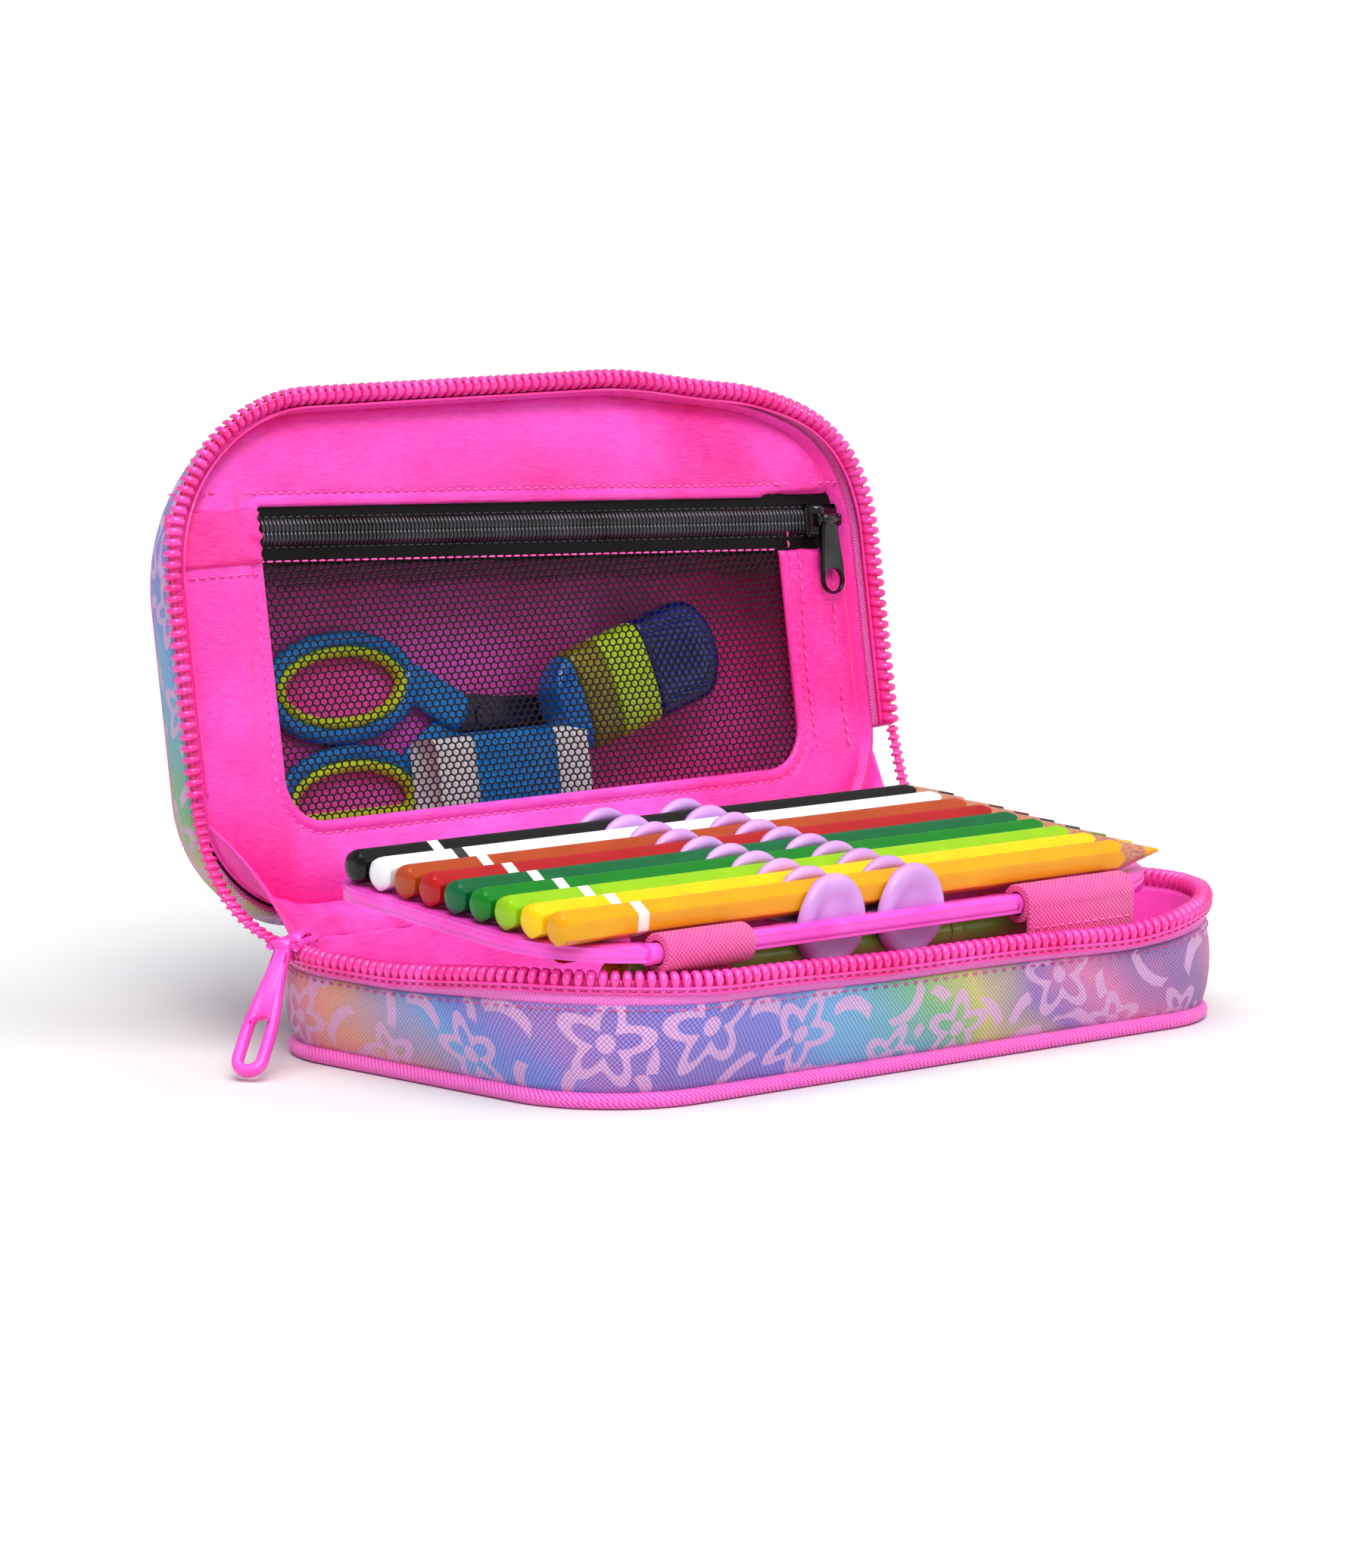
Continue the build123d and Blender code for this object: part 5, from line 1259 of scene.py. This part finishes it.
markerLeft = -78
markerColours = (("sage", 0, 5.6, (176, 238, 124), (150, 222, 98)),
                 ("yellow", 1, 8.2, (250, 222, 40), (236, 200, 16)),
                 ("orange", 3, 5.6, (250, 120, 30), (228, 92, 14)),
                 ("maroon", 5, 5.6, (112, 20, 48), (80, 10, 32)),
                 ("plum", 7, 5.6, (150, 60, 140), (116, 36, 108)))
for name, row, hang, light, deep in markerColours:
    start = pagePoint(markerLeft, pencilRow(row), -hang)
    finish = plastic("pen" + name.title(), light, deep, 0.24, 0.5, 0.15)
    at = [0, 0.1, 0.5, 1.2, 2.2, 2.5, 3.0, 3.3, 40, 80, 80.4, 81.2, 81.6, 87.7, 88, 88, 99.5, 100, 107, 108]
    radius = [0.8, 1.6, 2.4, 3.0, 3.2, 3.05, 3.05, 3.2, 3.2, 3.2, 3.0, 3.0, 3.2, 3.2, 3.1, 2.3, 2.3, 2.0, 1.1,
              0.6]
    Mould().rod(turned(start, (1, 0, 0), pageAcross, at, radius, 32)).cast(
        "marker" + name.title(), "page", finish, ["marker_" + name], "pen_" + name, angle=40)
    at = [92.3, 88.6, 88.3, 88.4, 88.9, 92, 92.3, 93.1, 93.4, 128, 133.5, 135, 135.9, 136.25, 136.3]
    radius = [2.7, 2.7, 2.85, 3.1, 3.2, 3.2, 3.05, 3.05, 3.2, 3.15, 3.0, 2.7, 2.0, 1.1, 0.3]
    Mould().rod(turned(start, (1, 0, 0), pageAcross, at, radius, 32)).cast(
        "cap" + name.title(), "cap_" + name, finish, ["cap_" + name], "pen_" + name, angle=40)

loopY, loopZ = page["y"], page["z"]
for place, width, tailSide, node, name in loopPlaces:
    strap = Mould()
    turn = np.arange(40) * tau / 40
    half = width / 2
    section = [(-half, 2.62), (-half, 3.95), (-half + 0.35, 4.15), (0, 4.2), (half - 0.35, 4.15),
               (half, 3.95), (half, 2.62), (0, 2.55)]
    grid = np.stack([np.stack([place + x + 0 * turn, loopY + r * np.cos(turn), loopZ + r * np.sin(turn)], -1)
                     for x, r in section], 1)
    strap.loop(grid, uv=clothUv(grid, True, True))
    down = np.linspace(0, 8.5, 8)  # the tail, curving in towards the lining
    y = loopY + tailSide * np.interp(down, [0, 4, 8, 14], [3.4, 3.5, 3.2, 3.5])
    z = loopZ - down
    rows = []
    for x, thick in ((-half + 0.1, 0.35), (-half + 0.4, 0.7), (half - 0.4, 0.7), (half - 0.1, 0.35),
                     (half - 0.4, -0.7), (-half + 0.4, -0.7)):
        rows.append(np.stack([place + x + 0 * y, y + tailSide * thick, z], -1))
    grid = np.stack(rows, 1)
    strap.rod(grid, uv=clothUv(grid, False, True))
    strap.cast(name, "page_carrier", webbingPink, [node], "webbing_pink", angle=60)
    thread = Mould()
    line = np.stack([np.linspace(place - half + 1, place + half - 1, 30),
                     np.full(30, loopY + tailSide * 4.15), np.full(30, loopZ - 5.0)], -1)
    stitches(thread, line, (0, tailSide, 0), 1.7, 2.4, 0.24, 0.05)
    thread.cast(name + "Stitches", "page_carrier", pinkThread, (), "webbing_pink")
print("markers and webbing made")


# Main slider, a saddle over the rim's teeth, and its long slotted pull

mainLook = {"corner": np.array([-61, 22.5, 0]), "radius": 37.7, "angle": 152, "heading": math.radians(210),
            "drop": math.radians(46)}
section = [(34.95, 21.6), (36.05, 21.6), (36.1, 24.55), (39.3, 24.55), (39.35, 21.6), (40.45, 21.6),
           (40.8, 22.6), (40.75, 24.2), (40.2, 25.3), (39.2, 25.8), (37.7, 25.95), (36.2, 25.8), (35.2, 25.3),
           (34.65, 24.2), (34.6, 22.6)]
places = np.array([-7.5, -7.2, -5, -2, 0, 2, 5, 7.2, 7.5])
grow = np.array([0.75, 1.0, 1.0, 0.8, 0.7, 0.9, 1.3, 1.4, 1.1])
rows = []
outer = np.array([0] * 6 + [0.3] * 9)  # how much of the swelling each place of the section takes


def cornerOut(angle):
    return np.array([math.cos(math.radians(angle)), math.sin(math.radians(angle)), 0])


for step, more in zip(places, grow):
    r, z = np.array(section).T
    r = mainLook["radius"] + (r - mainLook["radius"]) * (1 + outer * (more - 1) * 0.25)
    z = z + outer * (more - 1) * (z > 24.6)
    rows.append(mainLook["corner"] + cornerOut(mainLook["angle"] + step) * r[:, None] + upward * z[:, None])
saddle = Mould().rod(np.stack(rows))
middle = mainLook["corner"] + cornerOut(mainLook["angle"]) * mainLook["radius"]
heading = np.array([math.cos(mainLook["heading"]), math.sin(mainLook["heading"]), 0])
acrossPin = np.array([-heading[1], heading[0], 0])
hornPoint = frameAt(middle, heading, acrossPin, upward)
saddle.rod(block(hornPoint, (-2.5, 5.7), (-3.7, 3.7), (24.55, 25.9), 0.5, 0.6))
for side in (-1, 1):
    prong = sorted((side * 2.25, side * 3.75))
    saddle.rod(block(hornPoint, (4.5, 9.0), prong, (24.3, 26.0), 0.5, 0.7))
pinAt = hornPoint(8, 0, 25.1)
saddle.rod(turned(pinAt - acrossPin * 3.4, acrossPin, upward, [0, 6.8], [0.78, 0.78], 14))
t = np.linspace(0, math.pi, 16)
arch = hornPoint(-1.2 + 3.0 * np.cos(t), 0, 25.7 + 1.0 * np.sin(t))
saddle.rod(tubeAlong(arch, acrossPin, 1.5, 0.65, 12, False, 2.6))
saddle.cast("mainSlider", "main_slider", pullPink, ["main_slider"], "pull_pink", angle=45)

down = heading * math.cos(mainLook["drop"]) - upward * math.sin(mainLook["drop"])
pullPoint = frameAt(pinAt, acrossPin, down, np.cross(acrossPin, down))
outline = ringOf(-4.0, 4.0, 0.2, 33.0, 1.6, 3.95, (12, 10, 30))
outline = (outline[0] * (0.48 + 0.52 * smoothStep(outline[1], 1.0, 24.0)),) + outline[1:]
slot = ringOf(-1.45, 1.45, 18.5, 30.4, 1.44, 1.44, (12, 10, 30))
grid = framed(outline, slot, 2.5, 0.75)
tongue = Mould().loop(pullPoint(grid[..., 0], grid[..., 1], grid[..., 2]))
barrelAt, barrelRadii = [0, 0.35, 3.35, 3.7], [1.5, 1.9, 1.9, 1.5]
tongue.rod(turned(pinAt - acrossPin * 1.85, acrossPin, upward, barrelAt, barrelRadii, 22))
tongue.cast("mainPull", "main_pull", pullPink, ["main_pull"], "pull_pink")
print("main slider made")


# Cloth hinge along the back: it leaves the tray's band, turns back and joins the lid's band

path = np.array([(61.2, 12.5), (62.3, 15), (62.9, 18), (63.3, 20.6), (64.0, 22.4), (65.6, 23.3),
                 (67.6, 23.2), (67.5, 24.0), (65.4, 24.2), (63.2, 23.3), (62.3, 21.0), (61.9, 18),
                 (61.4, 15), (61.0, 12.5)])
along = np.linspace(-66, 66, 90)
grid = np.stack([np.stack([along, y + 0.25 * np.sin(along / 7.0 + k), z + 0 * along], -1)
                 for k, (y, z) in enumerate(path)], 1)
hinge = Mould().rod(grid, uv=clothUv(grid, False, True)).cast(
    "hingeCloth", None, printBase, ["hinge_strip"], "print_fabric")
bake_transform(hinge)


# Satin over the hinge inside: a sheet ruled between the tray's back rim and the lid's low edge, puffed up
def alongLine(points, share):
    s = stepLengths(points)
    return np.stack([np.interp(share * s[-1], s, points[:, k]) for k in range(3)], 1)


def arcOf(points, keep, axis=0):
    run = stretches(keep)[0]
    line = points[run]
    return line if line[0, axis] < line[-1, axis] else line[::-1]


trayEdge, _ = trayRing(2.5, 20.8, False)
trayEdge = arcOf(trayEdge, trayEdge[:, 1] > 44)
ringU, ringV, _, _ = lidRingFlat(2.5, 4.6)
lidEdge = arcOf(lidPoint(ringU, ringV, 4.6), ringV < 26)
share = np.linspace(0, 1, 140)
near, far = alongLine(trayEdge, share), alongLine(lidEdge, share)
w = np.linspace(0, 1, 12)
puff = 4 * w * (1 - w)
fold = (1.0 + 0.5 * np.sin(share * 61) + 0.3 * np.sin(share * 137))[:, None] * puff
lift = np.stack([0 * fold, -0.9 * fold, 1.3 * fold + 1.2 * puff * (np.abs(share - 0.5) > 0.3)[:, None]], -1)
grid = near[:, None] * (1 - w)[:, None] + far[:, None] * w[:, None] + lift
hingeSatin = Mould().add(grid, uv=clothUv(grid)).cast("hingeSatin", None, satinPink, (), "lining_pink")
ruled = [stepLengths(near)[-1], stepLengths(far)[-1]]
wide = np.linalg.norm(far - near, axis=1).mean()
print("hinge satin's edges and mean width", ruled, wide)
thicken(hingeSatin, 0.5)
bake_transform(hingeSatin)


# The free ends of the zip, bridging the corners between tray and lid
def zipTail(name, points):
    t = np.linspace(0, 1, 60)[:, None]
    a, b, c, d = [np.asarray(p, float) for p in points]
    line = (1 - t) ** 3 * a + 3 * t * (1 - t) ** 2 * b + 3 * t * t * (1 - t) * c + t ** 3 * d
    tail = Mould()
    out = line - np.array([2.0, 40.0, 34.0])
    out[:, 2] = 0
    out = unit(out)
    tail.rod(tubeAlong(line, out, 1.15, 0.55, 10))
    places, ahead, outs = spaced(line, 1.9, out)
    ups = np.cross(ahead, outs)
    ups *= np.sign((ups * viewer).sum(1, keepdims=True))
    bends = [(-1.5, -0.6), (-1.2, 0.3), (-0.2, 0.55), (0.9, 0.4), (1.4, -0.5)]
    tail.rod(rods(places, outs, ups, ahead, bends,
                  [0.35, 0.6, 0.72, 0.66, 0.35], 0.95))
    piece = tail.cast(name, None, coilPink, (), "zip_pink")
    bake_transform(piece)


zipTail("zipTailLeft", ((-93.4, 41.5, 23.0), (-97, 55, 25), (-101.2, 62, 34), lidPoint(-100.9, 29, 1.3)))
zipTail("zipTailRight", ((98.3, 42.0, 23.4), (101, 54, 26), (104.6, 61, 36), lidPoint(104.9, 29, 1.3)))
print("hinge and zip ends made")


# Floor, light and camera at the photograph's view

view = {"target": np.array([-23.22, 0, 56.16]), "azimuth": -42.33, "elevation": 7.24, "distance": 1400,
        "focal": 8689.94, "pictureHeight": 2072, "sensor": 36}
floorReach = 120.0


def studio():
    a, e = math.radians(view["azimuth"]), math.radians(view["elevation"])
    back = np.array([math.sin(a) * math.cos(e), -math.cos(a) * math.cos(e), math.sin(e)])
    cameraData = bpy.data.cameras.new("camera")
    camera = bpy.data.objects.new("camera", cameraData)
    bpy.context.scene.collection.objects.link(camera)
    right = np.cross(upward, back)
    right /= np.linalg.norm(right)
    placed = np.eye(4)
    placed[:3, 0], placed[:3, 1], placed[:3, 2] = right, np.cross(back, right), back
    placed[:3, 3] = (view["target"] + back * view["distance"]) * mm
    camera.matrix_world = mathutils.Matrix(placed.tolist())
    cameraData.sensor_width = view["sensor"]
    cameraData.lens = view["focal"] / view["pictureHeight"] * view["sensor"]
    cameraData.clip_start, cameraData.clip_end = 0.05, 150
    bpy.context.scene.camera = camera

    floorMesh = bpy.data.meshes.new("floor")
    corners = [(x * floorReach, y * floorReach, 0) for x, y in ((-1, -1), (1, -1), (1, 1), (-1, 1))]
    floorMesh.from_pydata(corners, [], [(0, 1, 2, 3)])
    floor = bpy.data.objects.new("floor", floorMesh)
    bpy.context.scene.collection.objects.link(floor)
    f = Finish("paleFloor", rough=0.9, gloss=0.1)
    stops = ((0.3, (0.735, 0.735, 0.74, 1.0)), (0.7, (0.75, 0.75, 0.75, 1.0)))
    floorMesh.materials.append(f.done(f.ramp(f.noise(f.place(), 0.02, 2.0), stops)))

    world = bpy.data.worlds.new("studio")
    bpy.context.scene.world = world
    world.use_nodes = True
    world.node_tree.nodes["Background"].inputs[0].default_value = (1, 1, 1, 1)
    world.node_tree.nodes["Background"].inputs[1].default_value = 0.5
    for name, place, energy, wide in (("skyLight", (-0.15, -0.25, 1.0), 2.0, 60),
                                      ("keyLight", (-0.55, -0.75, 0.85), 1.15, 24),
                                      ("fillLight", (0.9, -0.8, 0.6), 0.35, 60)):
        light = bpy.data.lights.new(name, "SUN")
        light.energy = energy
        light.angle = math.radians(wide)
        lamp = bpy.data.objects.new(name, light)
        bpy.context.scene.collection.objects.link(lamp)
        lamp.location = place
        lamp.rotation_mode = "QUATERNION"
        lamp.rotation_quaternion = (-mathutils.Vector(place)).to_track_quat("-Z", "Y")


studio()
bpy.context.scene.view_settings.view_transform = "Standard"
bpy.context.scene.view_settings.gamma = 0.86
